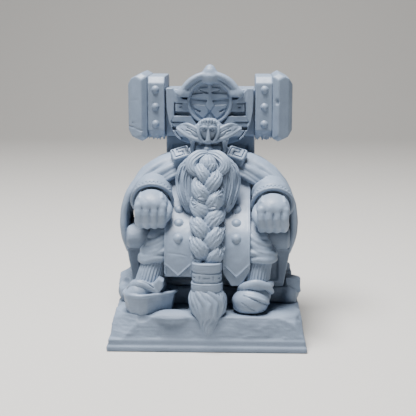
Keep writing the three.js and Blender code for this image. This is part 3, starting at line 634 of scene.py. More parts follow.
def step_rock():
    b, seat = place("dais"), place("throne_seat")
    clay = Clay(b.low - [0.8, 0, 0], b.high + [0.8, 0, 0.8], grain=0.205)
    clay.add(brick(b.low, b.high, round_off=0.1))
    for side in (-1, 1):
        clay.keep(half_space([side * (b.high[0] - 0.1), 0, b.low[2]], [side, 0, 0.12]), blend=0.2)
        left, right = sorted((side * 9.8, side * 17))
        clay.cut(brick([left, b.low[1] - 2, b.low[2] - 2], [right, seat.low[1] - 0.15, b.high[2] + 2]),
                 blend=0.25)
    clay.keep(half_space([0, b.low[1] + 0.05, b.low[2]], [0, -1, 0.16]), blend=0.15)
    clay.keep(half_space([0, b.high[1] - 0.05, b.low[2]], [0, 1, 0.22]), blend=0.3)
    chips = random.Random(8)
    for side in (-1, 1):
        clay.add(ball([side * 13.4, b.low[1] + 5.0, b.high[2] - 1.3], [2.0, 4.6, 2.2]), blend=0.5)
    for i in range(6):
        x = -8 + i * 3.2 + chips.uniform(-0.8, 0.8)
        clay.cut(ball([x, b.low[1] - 0.25, b.high[2] + 0.35], [chips.uniform(0.8, 1.8), 0.9, 0.7]), blend=0.2)
    for side in (-1, 1):
        for i in range(5):
            y = b.low[1] + 3 + i * 4.3 + chips.uniform(-1, 1)
            clay.cut(ball([side * (b.high[0] - 0.2), y, b.high[2] + 0.4], [1.2, chips.uniform(1, 2), 1.0]),
                     blend=0.3)
    return cast("step_rock", clay, "stone", "dais", roughen=pitted(0.14, 2.4, seed=3, stretch=(1, 1, 1.6)))


def boulder(name, side):
    b = place(f"boulder_{name}")
    clay = Clay(b.low - 0.3, b.high + 0.3, grain=0.12)
    chips = random.Random(11 + side)
    clay.add(brick(b.low + [0, 0.1, -0.2], b.high - 0.02, round_off=0.25))
    for _ in range(5):
        away = Vector((chips.uniform(0.2, 0.7) * side, chips.uniform(-0.5, 0.4), 1)).normalized()
        clay.keep(half_space(b.at(0.5 + side * 0.3, chips.uniform(0.1, 0.9), chips.uniform(0.86, 0.98)),
                             away), blend=0.06)
    clay.keep(half_space(b.at(0.5, 0.03, 0.5), (side * 0.15, -1, 0.15)), blend=0.06)
    return cast(f"boulder_{name}_rock", clay, "stone", f"boulder_{name}",
                roughen=pitted(0.1, 1.4, seed=6 + side))


# ------------------------------------------------------------ throne
def seat_block():
    b = place("throne_seat")
    clay = Clay(b.low, b.high, grain=0.2)
    clay.add(brick(b.low, b.high, round_off=0.12))
    flare = 1.1
    rise = b.size[2]
    panel_foot, panel_top = b.low[2] + 1.2, b.high[2] - 1.3
    for side in (-1, 1):
        clay.keep(half_space([side * (b.high[0] - flare), 0, b.low[2]], [side, 0, -flare / rise]), blend=0.1)
        face = side * (b.high[0] + 0.2)
        for i in range(3):
            y = b.low[1] + 1.2 + i * 4.9
            clay.cut(brick([face - 1.2, y, panel_foot], [face + 1.2, y + 4.1, panel_top], round_off=0.1),
                     blend=0.12)
    for i in range(5):
        x = b.low[0] + 2.2 + i * 4.75
        clay.cut(brick([x, b.low[1] - 1, panel_foot], [x + 3.9, b.low[1] + 0.35, panel_top], round_off=0.1),
                 blend=0.12)
    for z in (b.low[2] + 0.55, b.high[2] - 0.55):
        clay.cut(brick([b.low[0] - 1, b.low[1] - 1, z - 0.09], [b.high[0] + 1, b.low[1] + 0.14, z + 0.09]),
                 blend=0.06)
    return cast("throne_seat_block", clay, "stone", "throne_seat", roughen=pitted(0.05, 1.1, seed=12))


def back_slab():
    b = place("throne_back")
    clay = Clay(b.low, b.high, grain=0.18)
    clay.add(brick(b.low, b.high, round_off=0.2))
    for face, deep in ((b.high[1], 0.4), (b.low[1], 0.35)):
        for i in range(2):
            x = b.low[0] + 1.2 + i * 6.8
            for z, tall in ((b.low[2] + 1.4, 6.2), (b.low[2] + 9.2, 6.6)):
                clay.cut(brick([x, face - deep, z], [x + 6.1, face + deep, z + tall], round_off=0.12),
                         blend=0.15)
                near, far = (face - deep - 0.4, face) if face > b.mid[1] else (face, face + deep + 0.4)
                clay.add(brick([x + 1.1, near, z + 1.1], [x + 5.0, far, z + tall - 1.1], round_off=0.15),
                         blend=0.1)
    for z in (b.low[2] + 8.4, b.low[2] + 0.7, b.high[2] - 0.9):
        for edge in (-b.high[0], b.high[0]):
            clay.cut(brick([edge - 0.15, b.low[1] + 0.8, z - 0.12],
                           [edge + 0.15, b.high[1] - 0.8, z + 0.12]), blend=0.08)
    return cast("throne_back_slab", clay, "stone", "throne_back", roughen=pitted(0.05, 1.3, seed=14))


def armrest(name, side):
    b = place(f"armrest_{name}")
    clay = Clay(b.low - 0.2, b.high + 0.2, grain=0.15)
    clay.add(brick(b.low + [0.1, 1.2, 0.1], b.high - [0.1, 0.1, 0.1], round_off=0.7))
    wide = b.size[0] / 2
    scroll = turned_ring([(0, -wide + 0.05), (0.72, -wide + 0.05), (0.98, -wide + 0.45), (0.98, wide - 0.45),
                          (0.72, wide - 0.05), (0, wide - 0.05)], (0, 0), (b.size[2] / 2, b.size[2] / 2))
    centre = b.at(0.5, 0, 0.5) + [0, b.size[2] / 2 + 0.05, 0]

    def across(x, y, z):
        """The scroll laid along X at the front of the armrest."""
        return scroll[2](y - centre[1], z - centre[2], x - centre[0])
    clay.add((centre - 3, centre + 3, across), blend=0.25)
    outer = 1 if side > 0 else 0
    for z in (0.24, 0.76):
        clay.groove([b.at(outer, 0.32, z), b.at(outer, 0.95, z)], width=0.28)
    for turn in (0.45, 0.85):
        spiral = [centre + [0, math.cos(a) * turn * b.size[2] / 2, math.sin(a) * turn * b.size[2] / 2]
                  for a in np.linspace(0, 2 * math.pi, 14)]
        for x_out in (-1, 1):
            clay.groove([p + np.array([x_out * (wide - 0.05), 0, 0]) for p in spiral], width=0.22)
    return cast(f"armrest_{name}_bar", clay, "stone", f"armrest_{name}",
                roughen=pitted(0.04, 0.9, seed=20 + side))


# ------------------------------------------------------------ hammer head
def hammer_core():
    b = place("hammer_core")
    clay = Clay(b.low, b.high, grain=0.18)
    clay.add(brick(b.low, b.high, round_off=0.15))
    rear = b.high[1]
    z = b.mid[2]
    panel = brick([b.low[0] + 1.3, rear - 0.45, b.low[2] + 1.2],
                  [b.high[0] - 1.3, rear + 0.5, b.high[2] - 1.2], round_off=0.12)
    clay.cut(panel, blend=0.15)
    for x in (-4.2, 0, 4.2):
        lozenge = [(x - 1.3, z), (x, z - 2.1), (x + 1.3, z), (x, z + 2.1)]
        clay.add(slab(lozenge, 1, rear - 0.9, rear - 0.05, round_off=0.1), blend=0.1)
    for x in (-5.6, 5.6):
        clay.cut(brick([x - 0.15, b.low[1] + 0.5, b.high[2] - 0.18],
                       [x + 0.15, b.high[1] - 0.5, b.high[2] + 0.3]), blend=0.1)
    return cast("hammer_core_block", clay, "ironwork", "hammer_core", roughen=pitted(0.03, 1.2, seed=31))


def hammer_collar(name, side):
    b = place(f"hammer_collar_{name}")
    stub = 0.75
    clay = Clay(b.low - [0, 0, stub], b.high, grain=0.15)
    clay.add(brick(b.low, b.high, round_off=0.1))
    clay.chamfer(b, 1.1, 0.15)
    for x in (0.14, 0.86):
        clay.groove([b.at(x, 0, 0.08), b.at(x, 0, 0.92)], width=0.14, blend=0.08)
    # ragged remains of the casting supports, under the collar
    teeth = random.Random(40 + side)
    for i in range(9):
        x = b.low[0] + 0.2 + i * (b.size[0] - 0.4) / 8 + teeth.uniform(-0.1, 0.1)
        for y in (b.low[1] + 1.25, b.low[1] + 2.4, b.mid[1]):
            tip = teeth.uniform(0.15, stub)
            clay.strand([(x, y + teeth.uniform(-0.3, 0.3), b.low[2] + 0.3), (x, y, b.low[2] - tip)],
                        [0.26, 0.1], blend=0.12)
    return cast(f"hammer_collar_{name}_band", clay, "ironwork", f"hammer_collar_{name}",
                roughen=pitted(0.018, 1.0, seed=42 + side))


def hammer_face(name, side):
    b = place(f"hammer_face_{name}")
    clay = Clay(b.low, b.high, grain=0.15)
    clay.add(brick(b.low, b.high, round_off=0.06))
    inner = b.low[0] if side > 0 else b.high[0]
    ridge = inner + side * 1.0
    shoulder = inner + side * 2.75
    for axis in (1, 2):
        for out in (-1, 1):
            for x, inset, dx, drop in ((ridge, 0.0, -side, 0.62), (ridge, 0.0, side, 0.52),
                                       (shoulder, 0.9, side, 1.6)):
                point, normal = [x, 0, 0], [dx * drop, 0, 0]      # a bevel that falls away along X
                point[axis] = b.mid[axis] + out * (b.size[axis] / 2 - inset)
                normal[axis] = out
                clay.keep(half_space(point, normal), blend=0.06)
    clay.chamfer(b, 1.1, 0.2)
    if side < 0:
        crack = clay.surface([(b.low[0] + 0.05, b.low[2] + 2.6), (b.low[0] + 0.9, b.low[2] + 2.45),
                              (b.low[0] + 1.7, b.low[2] + 2.1), (b.low[0] + 2.5, b.low[2] + 1.95)])
        clay.groove(crack, width=0.2)
        for z in (3.1, 6.9):
            clay.groove(clay.surface([(b.low[0] + 0.5, b.low[2] + z),
                                      (b.low[0] + 1.6, b.low[2] + z + 0.15)]), width=0.1)
    else:
        dent = clay.surface([(b.low[0] + 0.75, b.mid[2] + 1.0)])[0]
        clay.cut(ball(dent, [0.32, 0.3, 0.5]), blend=0.15)
        clay.groove(clay.surface([(b.low[0] + 1.4, b.low[2] + 1.6), (b.low[0] + 2.6, b.low[2] + 2.2)]),
                    width=0.1)
    return cast(f"hammer_face_{name}_block", clay, "ironwork", f"hammer_face_{name}",
                roughen=pitted(0.018, 1.2, seed=45 + side))


# ------------------------------------------------------------ crest
def medallion():
    b = place("crest_medallion")
    front, rear, r = b.low[1], b.high[1], b.size[0] / 2
    cx, cz = b.mid[0], b.mid[2]
    clay = Clay(b.low - [0.3, 0.2, 0.3], b.high + 0.3, grain=0.085)
    profile = [(0, rear), (1.0, rear), (1.05, front + 0.2), (1.03, front - 0.1), (0.93, front - 0.1),
               (0.89, front + 0.42), (0, front + 0.34)]
    dish = turned_ring(profile, (0, 0), (r, r))
    clay.add((b.low - 0.3, b.high + 0.3, lambda x, y, z: dish[2](x - cx, z - cz, y)))

    def relief(spots, rise):
        clay.add(slab([(cx + u, cz + v) for u, v in spots], 1, front + 0.36 - rise * 0.7, front + 0.8,
                      round_off=0.06), blend=0.1)

    def notch(spots):
        clay.cut(slab([(cx + u, cz + v) for u, v in spots], 1, front - 0.3, front + 0.5, round_off=0.02),
                 blend=0.05)
    relief([(-0.32, 3.1), (0.32, 3.1), (0.26, 0.6), (0.75, -0.5), (0, -1.6), (-0.75, -0.5), (-0.26, 0.6)],
           0.42)
    for side in (-1, 1):
        relief([(side * 0.2, 1.5), (side * 3.0, 1.3), (side * 3.1, 0.75), (side * 1.3, 0.55),
                (side * 0.2, 0.25)], 0.4)
        relief([(side * 0.3, 2.5), (side * 1.7, 2.35), (side * 1.9, 1.9), (side * 0.3, 1.75)], 0.26)
        relief([(side * 0.5, -0.6), (side * 2.9, -0.4), (side * 2.3, -1.9), (side * 0.9, -2.9),
                (side * 0.1, -1.7)], 0.22)
        notch([(side * 0.45, 1.72), (side * 1.7, 2.1), (side * 1.65, 1.92), (side * 0.45, 1.5)])
        notch([(side * 0.5, 0.42), (side * 3.0, 0.62), (side * 3.0, 0.42), (side * 1.4, 0.22),
               (side * 0.5, 0.12)])
        notch([(side * 1.5, -1.5), (side * 2.65, -1.0), (side * 2.6, -1.25), (side * 1.7, -1.75)])
        notch([(side * 0.08, -1.35), (side * 0.3, -1.75), (side * 1.0, -2.7), (side * 0.7, -2.75),
               (0, -1.95)])
    return cast("crest_medallion_disc", clay, "ironwork", "crest_medallion",
                roughen=pitted(0.02, 0.7, seed=51))


def crest_arch():
    b = place("crest_arch")
    clay = Clay(b.low - [0.1, 0.3, 0.1], b.high + 0.1, grain=0.1)
    disc = place("crest_medallion")
    cx, cz = disc.mid[0], disc.mid[2]
    inner, outer = disc.size[0] / 2 - 0.12, disc.size[0] / 2 + 1.5
    front, rear = b.low[1], b.high[1]

    def arc(radius, wide, ends, count=25):
        return [(math.cos(a) * radius * wide, math.sin(a) * radius)
                for a in np.linspace(math.pi - ends, ends, count)]

    def bow(radius, y, wide=1.0, ends=0.30):
        return [(cx + u, y, cz + v) for u, v in arc(radius, wide, ends, 15)]
    ring = [(cx + u, cz + v) for u, v in arc(inner, 1, 0.26) + arc(outer - 0.05, 1.08, 0.30)[::-1]]
    clay.add(slab(ring, 1, front + 0.45, rear, round_off=0.1))
    clay.strand(bow(outer - 0.5, front + 0.5, 1.07), [0.52, 0.56, 0.56, 0.56, 0.52], blend=0.12)
    clay.strand(bow(inner + 0.26, front + 0.62, ends=0.22), [0.3, 0.3], blend=0.05)
    for side in (-1, 1):
        end = bow(outer - 0.5, front + 0.5, 1.07)[0 if side < 0 else -1]
        clay.add(ball([end[0] - side * 0.25, end[1] + 0.2, end[2] + 0.1], [1.2, 0.75, 0.95]), blend=0.3)
        clay.groove([(end[0] - side * 0.95, front + 0.1, end[2] + 1.0),
                     (end[0] - side * 0.3, front - 0.1, end[2] + 0.75),
                     (end[0] + side * 0.7, front, end[2] + 1.0)], width=0.16)
    tip = b.high[2]
    finial = [(cx, front + 0.75, tip - 1.95), (cx, front + 0.85, tip - 1.0), (cx, front + 1.0, tip - 0.42)]
    clay.strand(finial, [1.45, 0.95, 0.4], blend=0.35, up=(0, 1, 0), squash=0.8)
    return cast("crest_arch_moulding", clay, "ironwork", "crest_arch", roughen=pitted(0.02, 0.9, seed=53))


def crest_plate(name, side):
    b = place(f"crest_plate_{name}")
    disc = place("crest_medallion")
    cx, cz = disc.mid[0], disc.mid[2]
    front, rear = b.low[1], b.high[1]
    edge = (b.high[0] if side > 0 else -b.low[0]) - 0.05
    top = b.high[2] - cz - 0.05
    clay = Clay(b.low - [0.1, 0.5, 0.1], b.high + 0.1, grain=0.085)

    def mirrored(spots):
        return [(cx + side * u, cz + v) for u, v in spots]

    def raised(spots, rise, soft=0.1):
        clay.add(slab(mirrored(spots), 1, front - rise, rear, round_off=soft), blend=0.05)

    def pocket(x, z, long, tall, deep):
        left, right = sorted((cx + side * x, cx + side * (x + long)))
        clay.cut(brick([left, front - 1.5, cz + z], [right, front + deep, cz + z + tall], round_off=0.06),
                 blend=0.05)
    outer = [(edge, top), (edge, 0.0), (edge - 0.08, -1.6), (edge - 0.4, -3.3), (edge - 0.95, -4.75),
             (edge - 1.65, -5.9), (edge - 2.5, -6.6)]
    inner = [(edge - 2.4, -6.2), (edge - 1.75, -5.5), (edge - 1.15, -4.4), (edge - 0.85, -3.3),
             (edge - 1.3, -2.3), (edge - 1.35, 0.2), (edge - 1.2, 1.2), (edge - 1.1, top)]
    raised(outer + [(3.2, -7.2), (1.6, -6.2), (1.4, -4.6), (2.4, -3.2), (3.2, -1.5), (3.3, 0.3),
                    (edge - 2.7, 0.5), (edge - 1.0, top)], -0.55)
    raised(outer + inner, 0.25, 0.16)
    raised([(edge - 1.0, top), (edge - 2.75, 0.5), (3.2, 0.4), (3.2, -0.08), (edge - 1.2, -0.08),
            (edge - 1.1, 1.0)], 0.2)
    raised([(3.2, -0.05), (edge - 1.5, -0.05), (edge - 1.5, -1.6), (3.1, -1.6)], 0.12)
    raised([(3.0, -2.3), (edge - 1.2, -2.3), (edge - 0.9, -3.4), (4.3, -3.35), (2.6, -4.6), (1.9, -4.1),
            (2.7, -3.1)], 0.22)
    raised([(edge - 0.75, -3.35), (4.4, -3.35), (2.5, -4.6), (3.0, -6.0), (edge - 2.2, -5.9),
            (edge - 1.3, -4.6)], 0.05)
    pocket(3.6, -2.3, edge - 1.4 - 3.6, 0.66, 0.95)
    pocket(edge - 2.75, -0.32, 1.45, 0.16, 0.15)
    pocket(edge - 2.6, -0.95, 0.42, 0.22, 0.15)
    pocket(edge - 2.85, -3.46, 2.1, 0.14, 0.2)
    pocket(edge - 1.95, -4.75, 0.95, 0.58, 0.85)
    clay.groove([(cx + side * (edge - 1.42), front - 0.2, cz + v) for v in (-0.1, -2.2)], width=0.2,
                blend=0.05)
    rim = ((0.62, 1.4), (0.6, -1.2), (0.55, -2.6), (0.8, -3.6))
    clay.groove([(cx + side * (edge - u), front - 0.3, cz + v) for u, v in rim], width=0.12, blend=0.08)
    return cast(f"crest_plate_{name}_fret", clay, "ironwork", f"crest_plate_{name}",
                roughen=pitted(0.02, 0.8, seed=55 + side))


# ------------------------------------------------------------ studs
def stud_die():
    """The shape of one domed stud of radius 1 and height 1 with a low collar, standing on Z."""
    profile = [(0, 1.0), (0.42, 0.92), (0.76, 0.68), (0.95, 0.24), (1.1, 0.12), (1.14, -0.02), (1.1, -0.35),
               (0, -0.35)]
    around = 14
    points = [(0, 0, 1.0)] + [(r * math.cos(a), r * math.sin(a), h) for r, h in profile[1:-1]
                              for a in np.linspace(0, 2 * math.pi, around, endpoint=False)] + [(0, 0, -0.35)]
    faces = [(0, 1 + i, 1 + (i + 1) % around) for i in range(around)]
    for row in range(len(profile) - 3):
        for i in range(around):
            a, b = 1 + row * around + i, 1 + row * around + (i + 1) % around
            faces.append((a, a + around, b + around, b))
    last = len(points) - 1
    start = 1 + (len(profile) - 3) * around
    faces += [(start + i, last, start + (i + 1) % around) for i in range(around)]
    mesh = bpy.data.meshes.new("stud_die")
    mesh.from_pydata(points, [], faces)
    mesh.shade_smooth()
    return bpy.data.objects.new("stud_die", mesh)


def make_stud_tree():
    """Sets a die on each vertex, turned to the vertex's `facing`, sized by Radius and Height."""
    tree = bpy.data.node_groups.new("studs_on_points", "GeometryNodeTree")
    for label, kind in (("Points", "NodeSocketGeometry"), ("Die", "NodeSocketObject"),
                        ("Radius", "NodeSocketFloat"), ("Height", "NodeSocketFloat"),
                        ("Finish", "NodeSocketMaterial")):
        tree.interface.new_socket(label, in_out="INPUT", socket_type=kind)
    tree.interface.new_socket("Studs", in_out="OUTPUT", socket_type="NodeSocketGeometry")
    into, out = tree.nodes.new("NodeGroupInput"), tree.nodes.new("NodeGroupOutput")
    die, facing = tree.nodes.new("GeometryNodeObjectInfo"), tree.nodes.new("GeometryNodeInputNamedAttribute")
    turn = tree.nodes.new("FunctionNodeAlignRotationToVector")
    place_on = tree.nodes.new("GeometryNodeInstanceOnPoints")
    size, real = tree.nodes.new("ShaderNodeCombineXYZ"), tree.nodes.new("GeometryNodeRealizeInstances")
    paint = tree.nodes.new("GeometryNodeSetMaterial")
    facing.data_type = "FLOAT_VECTOR"
    turn.axis = "Z"
    facing.inputs["Name"].default_value = "facing"
    link = tree.links.new
    link(into.outputs["Die"], die.inputs["Object"])
    link(facing.outputs["Attribute"], turn.inputs["Vector"])
    for axis in ("X", "Y"):
        link(into.outputs["Radius"], size.inputs[axis])
    link(into.outputs["Height"], size.inputs["Z"])
    link(into.outputs["Points"], place_on.inputs["Points"])
    link(die.outputs["Geometry"], place_on.inputs["Instance"])
    link(turn.outputs["Rotation"], place_on.inputs["Rotation"])
    link(size.outputs["Vector"], place_on.inputs["Scale"])
    link(place_on.outputs["Instances"], real.inputs["Geometry"])
    link(real.outputs["Geometry"], paint.inputs["Geometry"])
    link(into.outputs["Finish"], paint.inputs["Material"])
    link(paint.outputs["Geometry"], out.inputs["Studs"])
    return tree


STUD_DIE, STUD_TREE = stud_die(), make_stud_tree()


def studs(name, spots, radius, height, slot, *nodes):
    """One piece of studs. spots are (point, facing) in millimetres."""
    mesh = bpy.data.meshes.new(name)
    mesh.from_pydata([tuple(np.array(p) * MM) for p, _ in spots], [], [])
    facing = mesh.attributes.new("facing", "FLOAT_VECTOR", "POINT")
    facing.data.foreach_set("vector", np.array([f for _, f in spots], np.float32).ravel())
    holder = bpy.data.objects.new(name + "_layout", mesh)
    bpy.context.scene.collection.objects.link(holder)
    modifier = holder.modifiers.new("studs", "NODES")
    modifier.node_group = STUD_TREE
    values = {"Die": STUD_DIE, "Radius": radius * MM, "Height": height * MM, "Finish": FINISH[slot]}
    for item in STUD_TREE.interface.items_tree:
        if item.in_out == "INPUT" and item.name in values:
            modifier[item.identifier] = values[item.name]
    plain = bpy.data.meshes.new_from_object(holder.evaluated_get(bpy.context.evaluated_depsgraph_get()))
    plain.name = name
    bpy.data.objects.remove(holder)
    piece = bpy.data.objects.new(name, plain)
    bpy.context.scene.collection.objects.link(piece)
    return settle(piece, slot, *nodes)


def collar_rivets():
    nodes = [f"collar_rivet_{name}_{i}" for name, _ in SIDES for i in (1, 2, 3)]
    spots = [(place(n).at(0.5, 1.0, 0.5), (0, -1, 0)) for n in nodes]
    b = place(nodes[0])
    return studs("collar_rivets", spots, b.size[0] / 2 * 0.8, b.size[1] * 0.8, "ironwork", *nodes)


# ------------------------------------------------------------ head and helmet
def face():
    b = place("head")
    cx, front = b.mid[0], place("helmet").low[1]
    clay = Clay(b.low - 0.2, b.high + 0.2, grain=0.12)
    middle = [cx, b.mid[1] + 0.5, CHIN + 1.7]
    clay.add(ball(middle, [2.75, 2.9, 3.5]))
    for side in (-1, 1):
        clay.add(ball([cx + side * 1.15, front + 0.75, CHIN + 0.35], [0.95, 0.8, 0.8]), blend=0.3)
        clay.cut(ball([cx + side * 1.15, front + 0.35, CHIN + 1.35], [0.75, 0.7, 0.45]), blend=0.2)
        clay.add(ball([cx + side * 1.1, front + 0.85, CHIN + 1.3], [0.5, 0.5, 0.36]), blend=0.05)
        clay.strand([(cx + side * 0.5, front + 0.35, CHIN + 1.75), (cx + side * 1.2, front + 0.2, CHIN + 1.9),
                     (cx + side * 1.9, front + 0.6, CHIN + 1.7)], [0.22, 0.26, 0.15], blend=0.12)
    clay.strand([(cx, front + 0.5, CHIN + 1.8), (cx, front + 0.05, CHIN + 1.0),
                 (cx, front - 0.35, CHIN + 0.5)], [0.36, 0.45, 0.6], blend=0.2)
    clay.add(ball([cx, front - 0.45, CHIN + 0.42], [0.74, 0.66, 0.56]), blend=0.15)
    for side in (-1, 1):
        clay.add(ball([cx + side * 0.62, front - 0.1, CHIN + 0.32], [0.4, 0.45, 0.36]), blend=0.12)
    return cast("king_face", clay, "skin", "head", roughen=pitted(0.02, 0.8, seed=61))


def helmet():
    b = place("helmet")
    cx, cy = b.mid[0], b.mid[1] + 0.1
    clay = Clay(b.low - 0.2, b.high + [0.2, 0.2, 0.3], grain=0.115)
    mid_z = CHIN + 1.7
    rise = b.high[2] - mid_z
    clay.add(ball([cx, cy, mid_z], [b.size[0] / 2 * 0.98, b.size[1] / 2 * 0.96, rise]))
    clay.cut(brick([b.low[0] - 1, b.low[1] - 1, b.low[2] - 2], [b.high[0] + 1, b.high[1] + 1, CHIN - 0.6]),
             blend=0.1)
    clay.cut(ball([cx, cy - 0.6, CHIN + 1.0], [2.7, 3.1, 2.6]), blend=0.1)
    clay.cut(brick([cx - 2.1, b.low[1] - 1, CHIN - 3], [cx + 2.1, b.low[1] + 2.6, CHIN + 1.6],
                   round_off=0.5), blend=0.15)
    for side in (-1, 1):
        guard = [(cx + side * 2.5, b.low[1] + 1.1, CHIN + 1.4),
                 (cx + side * 2.7, b.low[1] + 0.95, CHIN + 0.3),
                 (cx + side * 2.5, b.low[1] + 0.9, CHIN - 0.5)]
        clay.strand(guard, [0.42, 0.5, 0.38], blend=0.15, up=(side * 0.7, -0.7, 0), squash=0.5)
    crown = [(cx, cy + math.cos(a) * b.size[1] * 0.47, mid_z + math.sin(a) * rise)
             for a in np.linspace(2.6, 0.35, 12)]
    clay.strand(crown, [0.5, 0.5], blend=0.12, up=(0, 0, 1), squash=0.5)
    for side in (-1, 1):
        for turn in (0.45, 0.95):
            rib = [(cx + side * math.sin(turn) * b.size[0] * 0.49 * math.sin(a),
                    cy + math.cos(a) * b.size[1] * 0.48, mid_z + math.cos(turn) * math.sin(a) * rise)
                   for a in np.linspace(2.5, 0.4, 12)]
            clay.groove(rib, width=0.16)
    brow = [(cx - 3.0, b.low[1] + 1.7, CHIN + 1.75), (cx, b.low[1] + 0.1, CHIN + 1.8),
            (cx + 3.0, b.low[1] + 1.7, CHIN + 1.75)]
    clay.strand(brow, [0.34, 0.4, 0.34], blend=0.1, up=(0, -1, 0.3), squash=0.7)
    return cast("helmet_dome", clay, "ironwork", "helmet", roughen=pitted(0.025, 0.8, seed=62))


def beast_mask():
    b = place("helmet_mask")
    cx, front = b.mid[0], b.low[1]
    z0, tall = b.low[2], b.size[2]
    clay = Clay(b.low - [0.3, 0.3, 0.5], b.high + [0.3, 0.2, 0.3], grain=0.07)

    def spot(x, y, z):
        return (cx + x, front + y, z0 + tall * z)
    clay.add(ball(spot(0, 1.15, 0.52), [1.55, 0.85, 1.55]))
    clay.add(ball(spot(0, 0.95, 0.74), [1.5, 0.85, 0.8]), blend=0.25)
    clay.strand([spot(0, 0.55, 0.72), spot(0, 0.2, 0.46), spot(0, 0.1, 0.14)], [0.24, 0.26, 0.4], blend=0.12)
    clay.add(ball(spot(0, 0.4, 0.08), [0.66, 0.5, 0.4]), blend=0.2)
    for side in (-1, 1):
        clay.cut(ball(spot(side * 0.7, 0.2, 0.56), [0.5, 0.42, 0.28]), blend=0.08)
        clay.add(ball(spot(side * 0.66, 0.42, 0.57), [0.19, 0.2, 0.17]), blend=0.02)
        clay.cut(ball(spot(side * 0.72, 0.2, 0.34), [0.4, 0.32, 0.42]), blend=0.1)
        clay.strand([spot(side * 0.2, 0.12, 0.66), spot(side * 0.75, 0.0, 0.7),
                     spot(side * 1.35, 0.3, 0.66)], [0.15, 0.2, 0.14], blend=0.06)
        clay.strand([spot(side * 1.62, 0.85, 0.72), spot(side * 1.6, 0.6, 0.45), spot(side * 1.2, 0.5, 0.2),
                     spot(side * 0.7, 0.45, 0.04)], [0.24, 0.3, 0.26, 0.16], blend=0.08)
        clay.groove([spot(side * 1.3, 0.45, 0.62), spot(side * 1.28, 0.3, 0.42),
                     spot(side * 0.9, 0.25, 0.22)], width=0.14)
    for i in range(-3, 4):
        a = i * 0.34
        clay.strand([spot(math.sin(a) * 1.25, 0.25 + 0.05 * i * i, 0.66 + 0.16 * math.cos(a)),
                     spot(math.sin(a) * 1.5, 0.3 + 0.06 * i * i, 0.72 + 0.24 * math.cos(a)),
                     spot(math.sin(a) * 1.4, 0.9, 0.7 + 0.28 * math.cos(a))], [0.13, 0.27, 0.14], blend=0.04)
    return cast("helmet_beast_mask", clay, "ironwork", "helmet_mask")


def helmet_wing(name, side):
    b = place(f"helmet_wing_{name}")
    clay = Clay(b.low - [0.4, 0.6, 0.6], b.high + [0.4, 0.5, 0.6], grain=0.08)
    cx, near = place("helmet").mid[0], b.low[1]

    def spot(x, y, z):
        return (cx + side * x, near + y, CHIN + z)
    face = (side * 0.4, -0.9, 0.25)
    clay.strand([spot(1.5, 0.6, 2.65), spot(2.6, 0.75, 3.1), spot(3.8, 1.5, 3.5), spot(5.2, 3.0, 3.55)],
                [0.85, 1.05, 0.95, 0.3], blend=0.1, up=face, squash=0.42)
    clay.strand([spot(0.9, 0.0, 1.7), spot(1.7, 0.25, 1.9), spot(2.9, 0.5, 2.3), spot(4.0, 1.2, 2.85),
                 spot(5.2, 2.6, 3.45)], [0.3, 0.36, 0.36, 0.34, 0.2], blend=0.1, up=face, squash=0.8)
    clay.strand([spot(1.7, 0.35, 3.55), spot(2.5, 0.7, 3.95), spot(3.5, 1.2, 4.3), spot(4.6, 2.4, 4.1)],
                [0.24, 0.3, 0.28, 0.16], blend=0.15, up=face, squash=0.8)
    clay.groove([spot(1.85, 0.15, 2.3), spot(2.6, 0.25, 2.75), spot(3.0, 0.45, 3.2), spot(3.6, 0.85, 3.35)],
                width=0.26, blend=0.04)
    clay.groove([spot(1.8, 0.3, 2.95), spot(2.5, 0.4, 3.35), spot(3.4, 0.9, 3.75)], width=0.16, blend=0.04)
    clay.groove([spot(4.2, 1.2, 3.3), spot(5.0, 2.2, 3.75)], width=0.2, blend=0.05)
    return cast(f"helmet_brow_wing_{name}", clay, "ironwork", f"helmet_wing_{name}")


# ------------------------------------------------------------ beard
LOCKS = random.Random(21)


